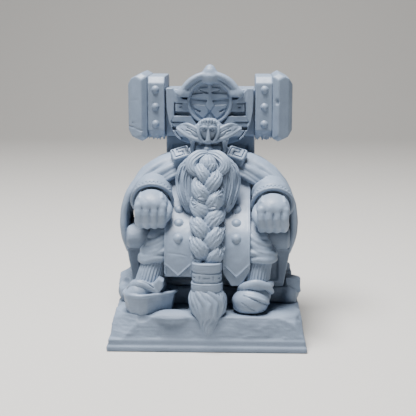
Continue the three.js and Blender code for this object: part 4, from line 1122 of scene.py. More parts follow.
def beard():
    b = place("beard")
    cx, top = b.mid[0], CHIN + 0.2
    clay = Clay(b.low - 0.4, b.high + [0.4, 0.4, 0.2], grain=0.1)
    outline = np.array([(0.0, 1.2, -5.0), (0.6, 2.6, -5.3), (1.4, 3.8, -5.6), (2.8, 4.8, -6.0),
                        (4.4, 5.3, -6.4), (5.9, 5.25, -6.7), (8.1, 4.4, -7.2), (10.3, 3.0, -7.7),
                        (11.4, 1.9, -7.9)])
    clay.strand([(cx, y, top - down) for down, _, y in outline], [wide * 0.9 for _, wide, _ in outline],
                blend=0.1, up=(0, -1, 0.2), squash=0.42, steps=34)
    clay.keep(ball([cx, -5.4, CHIN - 5.6], [5.9, 4.0, 5.6]), blend=0.15)
    shape = clay.field.copy()

    def lock(frac, start, end, thick, lift=0.0):
        """A lock that lies on the plain beard, whatever locks are there already."""
        downs = np.linspace(start, end, 12)
        wide = np.interp(downs, outline[:, 0], outline[:, 1]) * 0.95
        wide[0] *= 0.45
        wide[1] *= 0.86
        spots = [(cx + frac * w, top - d) for d, w in zip(downs, wide)]
        kept, clay.field = clay.field, shape
        path = clay.surface(spots, lift=lift)
        clay.field = kept
        if len(path) > 3:
            ups = [((x - cx) / 5.3, -0.75, 0.1) for x, _, _ in path]
            clay.strand(path, [thick * 0.5, thick, thick, thick, thick * 0.8], blend=0.0, up=ups,
                        squash=0.85, ridges=9, depth=0.2, steps=60)

    def parting(frac, start, end, wide):
        downs = np.linspace(start, end, 9)
        halves = np.interp(downs, outline[:, 0], outline[:, 1]) * 0.95
        spots = [(cx + frac * w, top - d) for d, w in zip(downs, halves)]
        clay.groove(clay.surface(spots, lift=-0.02), width=wide, blend=0.04)
    for side in (-1, 1):
        for frac, start, thick, lift in ((0.93, 0.7, 0.62, -0.1), (0.56, 0.45, 0.62, 0.0),
                                         (0.38, 0.4, 0.6, -0.05), (0.75, 0.5, 0.64, 0.08)):
            lock(side * frac, start + LOCKS.uniform(-0.05, 0.1), 11.2, thick, lift)
        for frac, start, end, wide in ((0.84, 1.3, 9.8, 0.4), (0.655, 1.0, 9.4, 0.42),
                                       (0.47, 2.2, 8.6, 0.36), (0.75, 2.4, 8.8, 0.2), (0.93, 2.0, 8.4, 0.2),
                                       (0.56, 2.0, 8.0, 0.2)):
            parting(side * (frac + LOCKS.uniform(-0.015, 0.015)), start, end, wide)
    return cast("beard_locks", clay, "hair", "beard")


def moustache(name, side):
    b = place(f"moustache_{name}")
    cx = place("beard").mid[0]
    clay = Clay(b.low - [0.7, 0.5, 0.6], b.high + [0.7, 0.4, 0.6], grain=0.085)
    path = [(cx + side * 0.3, -6.6, CHIN - 0.1), (cx + side * 1.5, -7.3, CHIN - 0.35),
            (cx + side * 2.55, -7.9, CHIN - 1.15), (cx + side * 2.75, -8.3, CHIN - 2.1),
            (cx + side * 2.2, -8.6, CHIN - 2.9), (cx + side * 1.3, -8.7, CHIN - 3.4)]
    ups = [(0, -0.8, 0.6), (side * 0.2, -0.9, 0.5), (side * 0.3, -1, 0.2), (side * 0.3, -1, 0),
           (0, -1, -0.1), (0, -1, -0.3)]
    clay.strand(path, [0.5, 0.8, 0.86, 0.8, 0.62, 0.3], blend=0.02, up=ups, squash=0.6, ridges=10,
                depth=0.14, steps=60)
    return cast(f"moustache_{name}_curl", clay, "hair", f"moustache_{name}")


def lip_tuft():
    b = place("chin_tuft")
    cx = b.mid[0]
    clay = Clay(b.low - 0.4, b.high + [0.4, 0.3, 0.4], grain=0.085)
    for i in (-2, 2, -1, 1, 0):
        near = b.low[1] + 0.12 * i * i - 0.1
        path = [(cx + i * 0.16, b.high[1] - 0.6, b.high[2] + 0.1)]
        for spread, y, height in ((0.4, 0.4, 0.8), (0.52, 0.1, 0.48), (0.4, 0.3, 0.2)):
            path.append((cx + i * spread, near + y, b.at(0, 0, height)[2]))
        path.append((cx + i * 0.16, near + 0.7, b.low[2] - 0.1))
        clay.strand(path, [0.2, 0.4, 0.44, 0.38, 0.2], blend=0.02, up=(i * 0.2, -1, 0), squash=0.9,
                    ridges=7, depth=0.13)
    return cast("lip_tuft_lock", clay, "hair", "chin_tuft")


def braid():
    """Three strands: each weaves from side to side, and passes over and under twice as often."""
    b = place("braid")
    cx, half = b.mid[0], b.size[0] / 2
    clay = Clay(b.low - [0.4, 0.9, 0.3], b.high + [0.4, 0.5, 0.5], grain=0.09)
    top, foot = b.high[2] + 0.1, b.low[2] - 0.1
    line = smooth_path([(cx, -8.3, top), (cx, -9.1, top - 2.1), (cx, -9.8, top - 6.8), (cx, -11.1, top - 9.7),
                        (cx, -11.75, top - 12.3), (cx, -11.9, foot)], 120)
    clay.strand(line[::6], [half * 0.4, half * 0.62, half * 0.66, half * 0.6], blend=0.05, up=(0, -1, 0.3),
                squash=0.5)
    lengths = np.concatenate([[0], np.cumsum(np.linalg.norm(np.diff(line, axis=0), axis=1))])
    period = 9.0
    for k in range(3):
        path, ups, radii = [], [], []
        for s in np.linspace(0, lengths[-1], 90):
            i = min(np.searchsorted(lengths, s), 118)
            ahead = unit(line[i + 1] - line[i])
            out = np.array([0, ahead[2], -ahead[1]])
            out = -out if out[1] > 0 else out
            grow = min(1, 0.72 + s / 16) * (1 - 0.2 * max(0, (s - lengths[-1] + 1.6) / 1.6))
            phase = 2 * math.pi * (s / period + k / 3) + 0.6
            across = (math.sin(phase) - math.sin(3 * phase) / 11) * half * 0.7 * grow
            over = -math.sin(2 * phase) * 0.76 * grow
            path.append(line[i] + np.array([across, 0, 0]) + out * (over + 0.42))
            ups.append(out + np.array([2.6 * (across / half) ** 3, 0, 0]))
            radii.append(half * grow * 0.46)
        clay.strand(path, radii, blend=0.0, up=ups, squash=0.52, ridges=9, depth=0.15, steps=130)
    return cast("beard_braid", clay, "hair", "braid")


def beard_ring():
    b = place("beard_ring")
    cx, cy = b.mid[0], b.mid[1]
    a, d = b.size[0] / 2 * 0.98, b.size[1] / 2 * 0.98
    top, foot = b.high[2], b.low[2]
    clay = Clay(b.low - 0.2, b.high + 0.2, grain=0.09)
    tall = top - foot
    marks = [(0, 0), (0.96, 0), (1.0, 0.03), (1.0, 0.26), (0.97, 0.29), (0.86, 0.30), (0.86, 0.345),
             (0.92, 0.36), (0.94, 0.38), (0.94, 0.61), (0.92, 0.63), (0.86, 0.64), (0.86, 0.68),
             (0.93, 0.69), (0.95, 0.72), (0.95, 0.96), (0.92, 1), (0, 1)]
    clay.add(turned_ring([(r, foot + tall * h) for r, h in marks], (cx, cy), (a, d), 2.5))
    z = foot + tall * 0.495
    # sunk dashes and dividers along the middle band
    for x, reach, rise in ((-0.8, 0.2, 0.11), (-0.42, 0.07, 0.36), (0, 0.52, 0.11), (0.42, 0.07, 0.36),
                           (0.8, 0.2, 0.11)):
        spot = clay.surface([(cx + x * a, z)])[0]
        dash = [(spot[0] + u * reach, z + v * rise) for u, v in ((-1, -1), (1, -1), (1, 1), (-1, 1))]
        clay.cut(slab(dash, 1, spot[1] - 0.4, spot[1] + 0.16, round_off=0.03), blend=0.03)
    for h in (0.06, 0.23, 0.76, 0.92):
        line = [(cx + a * math.cos(t), foot + tall * h)
                for t in np.linspace(math.pi * 1.04, math.pi * 1.96, 15)]
        clay.groove(clay.surface(line), width=0.09, blend=0.04)
    return cast("beard_ring_bands", clay, "ironwork", "beard_ring", roughen=pitted(0.02, 0.6, seed=71))


def beard_tuft():
    b = place("beard_tuft")
    cx, top, foot = b.mid[0], b.high[2] + 0.15, b.low[2] + 0.1
    clay = Clay(b.low - [0.5, 0.6, 0.1], b.high + [0.5, 0.6, 0.4], grain=0.085)
    half = b.size[0] / 2 * 1.08
    rows = np.array([(0.0, 0.70, -12.5), (0.1, 0.9, -12.6), (0.24, 1.02, -12.7), (0.38, 0.96, -12.9),
                     (0.52, 0.74, -13.15), (0.66, 0.52, -13.45), (0.8, 0.4, -13.75), (0.92, 0.25, -13.95),
                     (1.0, 0.06, -14.1)])
    core = [(cx, y, top - down * (top - foot)) for down, _, y in rows]
    clay.strand(core, rows[:, 1] * half * 0.66, blend=0.1, up=(0, -1, 0.1), squash=0.64, steps=24)
    count = 7
    for k in range(count):
        start = 2 * math.pi * k / count + LOCKS.uniform(-0.15, 0.15)
        path, ups = [], []
        for t in np.linspace(0, 1, 14):
            angle = start + 0.75 * math.sin(t * 4.6) + 1.0 * t * t
            r = np.interp(t, rows[:, 0], rows[:, 1]) * half * 0.72
            y = np.interp(t, rows[:, 0], rows[:, 2])
            sway = 0.35 * t * math.sin(t * 3.3) + 0.3 * t ** 4
            path.append((cx + sway + math.cos(angle) * r, y + math.sin(angle) * r * 0.64,
                         top - t * (top - foot)))
            ups.append((math.cos(angle), math.sin(angle), 0.1))
        thick = half * 0.46 * LOCKS.uniform(0.88, 1.12)
        radii = [thick * share for share in (0.7, 1, 1.05, 0.75, 0.5, 0.25)]
        clay.strand(path, radii, blend=0.0, up=ups, squash=0.6, ridges=8, depth=0.13)
    return cast("beard_tuft_end", clay, "hair", "beard_tuft")


# ------------------------------------------------------------ robe and straps
def lap_line():
    """The side view of the straps' outer face, from the chest over the lap to the shins."""
    return smooth_path([(-3.6, CHIN - 4), (-5.2, CHIN - 6.7), (-7.1, SEAT_TOP + 6.7), (-8.9, SEAT_TOP + 5),
                        (-10.3, SEAT_TOP + 3.4), (-11.1, SEAT_TOP + 1.4), (-11.35, SEAT_TOP - 1.0),
                        (-11.35, SEAT_TOP - 3.2), (-11.35, SEAT_TOP - 5.4)], 60)


def strap(name, side):
    b = place(f"strap_{name}")
    clay = Clay(b.low - [0.15, 0.5, 0.1], b.high + [0.15, 0.2, 0.2], grain=0.12)
    line = lap_line()
    thick = 0.8
    ahead = np.gradient(line, axis=0)
    ahead = ahead / np.linalg.norm(ahead, axis=1, keepdims=True)
    inner = line + np.stack([-ahead[:, 1], ahead[:, 0]], 1) * thick
    left, right = b.low[0] + 0.04, b.high[0] - 0.04
    clay.add(slab(np.vstack([line, inner[::-1]]), 0, left, right, round_off=0.14))
    foot, front, over = b.low[2] + 0.05, line[-1][0], 40
    mid = (left + right) / 2
    # the right strap ends in a point, the left one square, and both have a pointed border above the end
    if side < 0:
        end = [(left - 1, foot), (right + 1, foot), (right + 1, over), (left - 1, over)]
        ridge = [(left + 0.1, foot + 2.2), (mid, foot + 0.25), (right - 0.1, foot + 2.2)]
    else:
        end = [(mid - 0.75, foot), (mid + 0.75, foot), (right + 0.05, foot + 2.5), (right + 0.05, over),
               (left - 0.05, over), (left - 0.05, foot + 2.2)]
        ridge = [(left + 0.1, foot + 3.7), (mid, foot + 1.55), (right - 0.1, foot + 3.6)]
    clay.keep(slab(end, 1, -20, 5), blend=0.08)
    border = [(x, z - 0.1) for x, z in ridge] + [(right + 0.5, foot - 1), (left - 0.5, foot - 1)]
    clay.cut(slab(border, 1, front - 1, front + 0.16, round_off=0.02), blend=0.1)
    for (x0, z0), (x1, z1) in zip(ridge, ridge[1:]):
        bead = [(x, front + 0.02, z) for x, z in ((x0, z0), ((x0 + x1) / 2, (z0 + z1) / 2), (x1, z1))]
        clay.strand(bead, [0.17, 0.17], blend=0.08)
    for x in (left + 0.12, right - 0.12):
        edge = [(x, y + 0.05, z) for y, z in line[::3] if z > foot + (0.3 if side < 0 else 2.6)]
        clay.strand(edge, [0.16, 0.16], blend=0.1)
    if side < 0:
        crease = clay.surface([(left + 0.5, foot + 3.9), (mid, foot + 3.75), (right - 0.9, foot + 3.5)],
                              lift=0.02)
        clay.groove(crease, width=0.12, blend=0.15)
    rivets = []
    for i in (1, 2, 3):
        spot = place(f"strap_rivet_{name}_{i}").mid
        rough = clay.surface([(spot[0], spot[2] - (0.3 if i < 3 else 0.0))])[0]
        j = np.argmin(np.abs(line[:, 0] - rough[1]) + np.abs(line[:, 1] - rough[2]))
        out = np.array([0, ahead[j][1], -ahead[j][0]])
        out = out if out[1] < 0 else -out
        rivets.append(((spot[0], rough[1], rough[2]), tuple(out)))
    piece = cast(f"strap_{name}_tabard", clay, "leather", f"strap_{name}",
                 roughen=pitted(0.05, 1.7, seed=80 + side, detail=2))
    return piece, rivets


def robe():
    b = place("robe")
    clay = Clay(b.low - [0.4, 0.6, 0.6], b.high + [0.4, 0.3, 0.3], grain=0.16)
    torso = [(0, -0.6, SEAT_TOP + 0.4), (0, -1.4, SEAT_TOP + 4.6), (0, -1.2, CHIN - 6.1),
             (0, -0.6, CHIN - 3.1), (0, -0.9, CHIN - 1.8)]
    clay.strand(torso, [5.2, 5.6, 5.4, 4.6, 2.6], blend=0.5, up=(0, -1, 0), squash=0.8)
    clay.add(brick([-5.4, -9.8, SEAT_TOP - 0.3], [5.4, -2, SEAT_TOP + 3.3], round_off=0.5), blend=0.6)
    for side in (-1, 1):
        thigh = [(side * 4.8, -1.5, SEAT_TOP + 2.7), (side * 6.6, -6, SEAT_TOP + 2.5),
                 (side * 7.6, -8.2, SEAT_TOP + 1.5), (side * 8.4, -8.8, SEAT_TOP - 0.3)]
        clay.strand(thigh, [2.5, 2.6, 2.5, 2.3], blend=0.5)

        def hoop(middle, wide, deep, tilt, thick, blend):
            """A roll of cloth round the knee. tilt lowers its outer end."""
            loop = []
            for a in np.linspace(-0.25, math.pi + 0.25, 15):
                across = -math.cos(a) * wide
                ripple = 0.08 * math.sin(a * 5)
                loop.append((side * (middle[0] + across), middle[1] - math.sin(a) * deep,
                             middle[2] - tilt * across + ripple))
            clay.strand(loop, [thick * 0.8, thick, thick * 1.05, thick, thick * 0.8], blend=blend)
        hoop((8.5, -8.95, SEAT_TOP - 0.8), 2.4, 1.95, 0.2 if side < 0 else 0.06, 0.58, 0.25)
        hoop((8.2, -8.9, SEAT_TOP + 0.25), 2.7, 1.9, 0.36 if side < 0 else 0.16, 0.54, 0.25)
        hoop((7.7, -8.0, SEAT_TOP + 1.9), 3.0, 1.9, 0.6, 0.42, 0.8)
        for outer, low, inner, high in ((10.6, -0.1, 6.3, 1.5), (10.4, 1.2, 6.6, 2.7), (9.6, 2.4, 7.2, 3.6)):
            spots = [(side * (outer + (inner - outer) * t),
                      SEAT_TOP + low + (high - low) * t - 0.35 * math.sin(t * 3.1))
                     for t in np.linspace(0, 1, 7)]
            crease = clay.surface(spots, lift=0.06)
            if len(crease) > 3:
                clay.groove(crease, width=0.34, blend=0.3)
        clay.cut(ball([side * 8.5, -8.9, SEAT_TOP - 2.7], [2.2, 1.9, 1.3]), blend=0.15)
    return cast("robe_skirts", clay, "cloth", "robe", roughen=pitted(0.05, 1.5, seed=90, detail=2))


# ------------------------------------------------------------ arms
def forearm(name):
    """The middle of the cuff, and the way from there to the fist."""
    grip, band = place(f"fist_{name}").mid, place(f"cuff_{name}").mid
    return band, unit(grip - band)


def sleeve(name, side):
    b = place(f"sleeve_{name}")
    band, aim = forearm(name)
    wrist = band - aim
    clay = Clay(b.low - 0.4, b.high + 0.4, grain=0.15)
    shoulder = np.array([side * 6.8, 0.4, CHIN - 4.6])
    elbow = np.array([side * (9.1 if side < 0 else 9.6), -1.6, CHIN - 6.1])
    clay.strand([shoulder, elbow, wrist - aim * 0.4, wrist], [2.6, 2.85, 3.0, 3.05], blend=0.3)
    folds = random.Random(95 + side)
    arm = smooth_path([shoulder, elbow, wrist], 20)
    for i in range(6):
        at = int((0.12 + i * 0.155) * 19)
        tangent = unit(arm[at + 1] - arm[at])
        u = unit(np.cross(tangent, [0, 0, 1]))
        v = np.cross(tangent, u)
        start = folds.uniform(-0.4, 0.5) + (math.pi if side < 0 else 0)
        ring = [arm[at] + (u * math.cos(a) + v * math.sin(a)) * 2.92 + tangent * 0.55 * math.sin(a * 1.3 + i)
                for a in np.linspace(start - 1.6, start + 1.9, 9)]
        clay.strand(ring, [0.12, 0.36, 0.42, 0.34, 0.1], blend=0.45)
    return cast(f"sleeve_{name}_cloth", clay, "cloth", f"sleeve_{name}",
                roughen=pitted(0.04, 1.4, seed=97 + side, detail=2))


def cuff(name, side):
    """The cuff, sculpted round Z and set on the arm, and the places of its two rows of small studs."""
    band, aim = forearm(name)
    across = unit(np.cross([0, 0, 1], aim))
    rise = np.cross(aim, across)
    clay = Clay([-4.2, -4.2, -1.2], [4.2, 4.2, 1.3], grain=0.1)
    r, count = 3.5, 34
    profile = [(0.8, -0.85), (0.92, -0.85), (0.955, -0.78), (0.955, -0.62), (0.93, -0.55), (0.95, 0.35),
               (0.99, 0.42), (1.02, 0.55), (1.02, 0.75), (0.98, 0.88), (0.88, 0.88), (0.8, 0.6)]
    clay.add(turned_ring(profile, (0, 0), (r, r)))
    placing = turned_to(across, rise, aim, band)
    piece = cast(f"cuff_{name}_band", clay, "ironwork", f"cuff_{name}",
                 roughen=pitted(0.02, 0.7, seed=100 + side), placing=placing)
    spots = []
    for row, z in enumerate((-0.28, 0.12)):
        for a in np.linspace(0, 2 * math.pi, count, endpoint=False):
            a += row * math.pi / count
            out = across * math.cos(a) + rise * math.sin(a)
            spots.append((band + out * (r * 0.945) + aim * z, tuple(out)))
    return piece, spots


def fist(name, side):
    b = place(f"fist_{name}")
    clay = Clay([-3.6, -3.9, -3.9], [3.6, 3.6, 3.6], grain=0.11)
    clay.add(ball([0, 0.5, 0.35], [2.85, 2.75, 2.55]))
    clay.add(ball([0, -0.9, 1.15], [2.65, 1.7, 1.35]), blend=0.7)
    for x, drop, r in ((-1.98, 0.25, 0.74), (-0.68, 0.0, 0.8), (0.66, 0.05, 0.79), (1.94, 0.3, 0.7)):
        knuckle = (x * 1.02, -1.85 + drop * 0.5, 1.2 - drop)
        clay.add(ball(knuckle, [r * 0.98, r * 0.85, r * 0.85]), blend=0.3)
        clay.strand([knuckle, (x, -2.45 + drop * 0.4, -0.1 - drop * 0.4),
                     (x * 0.98, -2.25 + drop * 0.4, -1.2)], [r * 0.9, r * 0.94, r * 0.9], blend=0.24)
        clay.strand([(x * 0.98, -2.25 + drop * 0.4, -1.35), (x * 0.95, -1.45, -2.25), (x * 0.92, -0.3, -2.2)],
                    [r * 0.95, r * 0.95, r * 0.85], blend=0.5)
        clay.strand([(x * 0.9, 0.4, 2.55), (x * 0.98, -0.9, 2.1)], [0.1, 0.26], blend=0.35)
    for x in (-1.33, -0.01, 1.3):
        clay.groove([(x, -1.6, 1.75), (x, -2.6, 0.7), (x, -3.0, -0.3), (x, -2.95, -1.2)], width=0.14,
                    blend=0.2)
    inner = -side
    thumb = [(inner * 2.3, 0.9, 0.2), (inner * 2.75, -0.6, -0.2), (inner * 2.45, -1.7, -0.9),
             (inner * 1.5, -2.2, -1.6)]
    clay.strand(thumb, [0.95, 0.86, 0.76, 0.62], blend=0.25)
    sculpted = (6.35, 6.6, 6.1)
    size = Matrix.Diagonal([b.size[i] / sculpted[i] for i in range(3)] + [1])
    placing = Matrix.Translation(Vector(b.mid + [0, 0.15, 0.1])) @ Matrix.Rotation(0.25, 4, "X") @ size
    return cast(f"fist_{name}_hand", clay, "skin", f"fist_{name}",
                roughen=pitted(0.03, 0.9, seed=105 + side), placing=placing)


# ------------------------------------------------------------ legs
def boot_shaft(name, side):
    b = place(f"shin_{name}")
    foot = place(f"boot_cuff_{name}").mid
    top = np.array([side * 8.5, -8.8, SEAT_TOP - 0.9])
    clay = Clay(b.low - 0.4, b.high + 0.4, grain=0.1)
    leg = [top, top * 0.5 + foot * 0.5 + [0, -0.1, 0.1], foot]
    clay.strand(leg, [2.0, 1.95, 2.05], blend=0.1, up=(0, -1, 0.2), squash=0.97, ridges=24, depth=0.05,
                steps=14)
    return cast(f"boot_shaft_{name}", clay, "cloth", f"shin_{name}",
                roughen=pitted(0.025, 0.9, seed=110 + side))


def boot_cuff(name, side):
    b = place(f"boot_cuff_{name}")
    clay = Clay(b.low - [1.2, 0.9, 1.0], b.high + [1.2, 0.5, 0.7], grain=0.1)
    cx, cy, cz = b.mid
    left = side < 0

    def arch(points, radii):
        clay.strand([(cx + x, cy + y, cz + z) for x, y, z in points], radii, blend=0.1, up=(0, -1, 0.3),
                    squash=0.62)

    def crease(points, width):
        clay.groove([(cx + x, cy + y, cz + z) for x, y, z in points], width=width)
    ring = [(cx + math.cos(a) * 2.3, cy + 0.1 + math.sin(a) * 2.25,
             cz + 0.1 + (0.18 if left else -0.05) * math.cos(a)) for a in np.linspace(0, 2 * math.pi, 21)]
    clay.strand(ring, [0.62, 0.62], blend=0.25)
    if left:
        arch([(-2.9, -0.4, -1.1), (-2.5, -1.6, -0.1), (-1.2, -2.45, 0.75), (0.4, -2.55, 0.35),
              (1.6, -2.4, -0.7)], [0.5, 0.62, 0.66, 0.62, 0.4])
        flap = [(0.8, 0.45), (2.05, 1.75), (2.85, 1.2), (2.75, 0.1), (1.85, -1.15), (0.9, -0.65)]
        clay.add(slab([(cx + x, cz + z) for x, z in flap], 1, cy - 2.5, cy - 0.4, round_off=0.35), blend=0.12)
        crease(((-1.9, -2.5, 1.35), (-0.9, -2.75, 1.3), (0.3, -2.75, 0.85), (1.2, -2.6, 0.1)), 0.2)
        crease(((-1.4, -3.0, 0.15), (0.1, -3.05, -0.1), (1.2, -2.95, -1.0)), 0.14)
    else:
        arch([(-2.75, -1.0, -0.95), (-2.1, -2.0, 0.0), (-0.1, -2.55, 0.75), (1.7, -2.1, 0.1),
              (2.5, -1.1, -1.0)], [0.48, 0.62, 0.64, 0.62, 0.46])
        crease(((-1.8, -2.5, 1.1), (0.4, -2.9, 1.35), (1.2, -2.7, 0.75), (1.7, -2.6, 0.95)), 0.18)
        crease(((-2.2, -2.5, -0.35), (-0.1, -3.2, 0.35), (2.0, -2.6, -0.35)), 0.14)
    return cast(f"boot_cuff_{name}_fold", clay, "leather", f"boot_cuff_{name}",
                roughen=pitted(0.02, 0.8, seed=114 + side))


def shoe_left():
    b = place("shoe_left")
    foot = b.low[2] + 0.1
    rim = foot + 3.35
    clay = Clay(b.low - [0.5, 0.7, 0.1], b.high + [0.4, 0.4, 0.9], grain=0.115)
    sole = [(-13.1, -9.6), (-13.35, -11.5), (-12.5, -12.9), (-10.9, -13.7), (-9.5, -13.4), (-5.5, -10.8),
            (-5.3, -8.4), (-7.2, -7.0), (-10.4, -7.4)]
    middle = np.mean(sole, axis=0)
    for level in range(6):
        share = level / 5
        outline = middle + (np.array(sole) - middle) * (0.90 + 0.11 * share)
        start, end = foot - 0.2 + (rim - foot) * share * 0.8, foot + (rim - foot) * (0.25 + 0.75 * share)
        clay.add(slab(outline, 2, start, end, round_off=0.12), blend=0.35)
    lip = [(x, y, rim - 0.12) for x, y in (sole + sole[:2])]
    clay.strand(lip, [0.3, 0.3], blend=0.15, steps=60)
    inside = middle + (np.array(sole) - middle) * 0.84
    clay.cut(slab(inside, 2, rim - 0.3, rim + 3), blend=0.15)
    instep = [(-12.1, -12.1, rim - 0.4), (-10.9, -11.6, rim + 0.1), (-9.6, -10.4, rim + 0.5),
              (-8.4, -9.2, rim + 0.6)]
    clay.strand(instep, [1.2, 1.75, 1.9, 1.7], blend=0.15)
    for shift in (0.0, 1.1):
        fold = [(-13.0 + shift, -10.2 - shift * 0.4), (-11.9 + shift, -11.4 - shift * 0.2),
                (-10.6 + shift, -12.3 + shift * 0.3)]
        line = clay.surface(fold, axis=2, side=1)
        if len(line) > 2:
            clay.groove(line, width=0.2, blend=0.08)
    clay.keep(half_space([0, 0, foot - 0.1], (0, 0, -1)), blend=0.1)
    return cast("shoe_left_boot", clay, "leather", "shoe_left", roughen=pitted(0.05, 1.4, seed=120, detail=2))


def shoe_right():
    b = place("shoe_right")
    clay = Clay(b.low - [0.5, 0.7, 0.1], b.high + [0.4, 0.4, 0.9], grain=0.1)
    foot = b.low[2]
    clay.add(ball([7.0, -11.3, foot + 1.95], [3.0, 2.35, 2.05]))
    clay.add(ball([7.7, -9.6, foot + 2.3], [2.6, 2.6, 2.2]), blend=0.5)
    clay.add(ball([7.6, -10.6, foot + 3.2], [2.0, 1.7, 1.0]), blend=0.3)
    clay.add(ball([6.9, -11.0, foot + 0.8], [2.75, 2.4, 1.0]), blend=0.4)

    def over(spots):
        return clay.surface([(x, foot + z) for x, z in spots])
    crest = over([(4.5, 3.2), (6.0, 3.3), (7.6, 2.95), (9.0, 2.3), (9.9, 1.5)])
    clay.strand([(x, y + 0.06, z) for x, y, z in crest], [0.16, 0.26, 0.28, 0.26, 0.16], blend=0.2)
    clay.groove([(x - 0.05, y - 0.06, z - 0.3) for x, y, z in crest], width=0.2, blend=0.12)
    instep = over([(6.0, 4.0), (7.3, 3.95), (8.6, 3.5), (9.6, 2.7)])
    if len(instep) > 2:
        clay.groove(instep, width=0.2, blend=0.1)
    clay.groove(over([(5.6, 2.0), (6.7, 1.4), (7.9, 0.75)]), width=0.2, blend=0.12)
    clay.groove(over([(4.3, 1.0), (5.4, 0.6), (7.0, 0.42), (8.6, 0.6), (9.7, 1.0)]), width=0.14, blend=0.1)
    clay.keep(half_space([0, 0, foot + 0.04], (0, 0, -1)), blend=0.1)
    return cast("shoe_right_boot", clay, "leather", "shoe_right",
                roughen=pitted(0.04, 1.3, seed=124, detail=2))


# ------------------------------------------------------------ cloak and clasps
def cloak(name, side):
    b = place(f"cloak_{name}")
    clay = Clay(b.low - [0.4, 0.6, 0.4], b.high + [0.4, 0.4, 0.8], grain=0.16)
    folds = random.Random(130 + side)
    deep = b.size[1] / 2 - 0.3
    mid_y = b.mid[1]
    shoulder = [(side * 3.6, -0.9, CHIN - 3.3), (side * 6.6, -1.0, CHIN - 3.9),
                (side * 9.5, -0.9, CHIN - 5.7), (side * 11.4, -0.7, CHIN - 8.5)]
    clay.strand(shoulder, [2.2, 3.0, 2.95, 2.1], blend=0.3)
    for back in (0.0, 1.0):
        sweep = [(side * 3.8, -2.2 + back, CHIN - 2.2), (side * 6.8, -2.3 + back, CHIN - 2.3 + back * 0.1),
                 (side * 9.9, -2.4 + back, CHIN - 4.3), (side * 12.2, -2.6 + back, CHIN - 7.2),
                 (side * 13.2, -2.8 + back, CHIN - 10)]
        clay.strand(sweep, [0.7, 0.8, 0.85, 0.8, 0.6], blend=0.5)
    count = 9
    for i in range(count):
        v = -1 + 2 * i / (count - 1)
        y = mid_y + v * deep
        jitter = folds.uniform(-0.12, 0.12)
        r = 0.56 + (0.26 if i % 2 else 0) + folds.uniform(-0.04, 0.06)
        bulge, hem = folds.uniform(0, 0.12), folds.uniform(-0.15, 0.2)
        path = [(side * 3.4, mid_y + 1.9 + v * 2.0, CHIN - 2.3),
                (side * 6.6, mid_y + 1.2 + v * 2.9, CHIN - 2.0 + (0.12 if i % 2 else 0)),
                (side * 10.0, mid_y + 0.6 + v * 3.7, CHIN - 3.75),
                (side * 12.7, mid_y + v * (deep - 0.3) + jitter, CHIN - 6.8),
                (side * (13.95 - bulge), y + jitter, CHIN - 10.4),
                (side * 13.9, y - jitter, SEAT_TOP + 2.0),
                (side * 13.25, mid_y + v * deep * 0.94, SEAT_TOP - 0.7 + hem)]
        clay.strand(path, [r * share for share in (0.8, 0.95, 1, 1, 0.95, 0.9, 0.7)], blend=0.3)
    # the front edge, gathered under the clasp and spreading over the upper arm
    near = b.low[1]
    spread = ((-2.0, -3.0, -5.4, -8.4, 0.62), (-2.75, -3.7, -5.9, -8.6, 0.5), (-3.4, -4.3, -5.9, -7.6, 0.56))
    for i, (clasp_z, mid_z, low_z, end_z, r) in enumerate(spread):
        clay.strand([(side * 4.0, near + 2.2 - 0.4 * i, CHIN + clasp_z),
                     (side * (6.6 - 0.2 * i), near + 1.2 - 0.25 * i, CHIN + mid_z),
                     (side * (10.3 - 0.75 * i), near + 1.0 - 0.1 * i, CHIN + low_z),
                     (side * (12.6 - 0.9 * i), near + 1.0, CHIN + end_z)],
                    [r * 0.8, r * 1.1, r * 1.1, r * 0.5], blend=0.5)
    for i, (clasp_z, mid_z, low_z) in enumerate(((-2.45, -3.4, -5.7), (-3.1, -4.05, -6.0))):
        valley = [(side * 4.4, near + 1.1 - 0.4 * i, CHIN + clasp_z),
                  (side * 6.5, near + 0.25 - 0.2 * i, CHIN + mid_z),
                  (side * (9.9 - 0.8 * i), near + 0.1, CHIN + low_z)]
        clay.groove(valley, width=0.4, blend=0.25)
    return cast(f"cloak_{name}_drape", clay, "cloth", f"cloak_{name}",
                roughen=pitted(0.06, 1.8, seed=134 + side, detail=2))


def clasp(name, side):
    b = place(f"clasp_{name}")
    clay = Clay([-1.9, -1.2, -1.6], [1.9, 1.8, 1.6], grain=0.075)
    clay.add(brick([-1.55, -0.75, -1.3], [1.55, 1.4, 1.3], round_off=0.35))
    key = [(-1.1, 0.85), (-1.1, -0.75), (0.4, -0.75), (0.4, 0.1), (-0.4, 0.1), (-0.4, 0.85), (1.1, 0.85),
           (1.1, -0.85)]
    if side > 0:
        key = [(-x, z) for x, z in key]
    for ends in zip(key, key[1:]):
        (left, low), (right, high) = np.min(ends, axis=0), np.max(ends, axis=0)
        clay.cut(brick([left - 0.1, -1.0, low - 0.1], [right + 0.1, -0.5, high + 0.1], round_off=0.03),
                 blend=0.05)
    clay.groove([(-1.6, -0.05, -1.35), (1.6, -0.05, -1.35)], width=0.18)
    clay.groove([(side * 1.6, -0.05, -1.3), (side * 1.6, -0.05, 1.3)], width=0.18)
    face = Vector((side * 0.1, -0.6, 0.8)).normalized()
    long = Vector((0.88, 0, -side * 0.5))
    long = (long - face * long.dot(face)).normalized()
    rise = face.cross(long)
    seat = b.mid + np.array([-side * 0.3, -0.25, 0.35])
    placing = turned_to(long, -face, rise, seat)
    return cast(f"clasp_{name}_key", clay, "ironwork", f"clasp_{name}",
                roughen=pitted(0.02, 0.6, seed=140 + side), placing=placing)


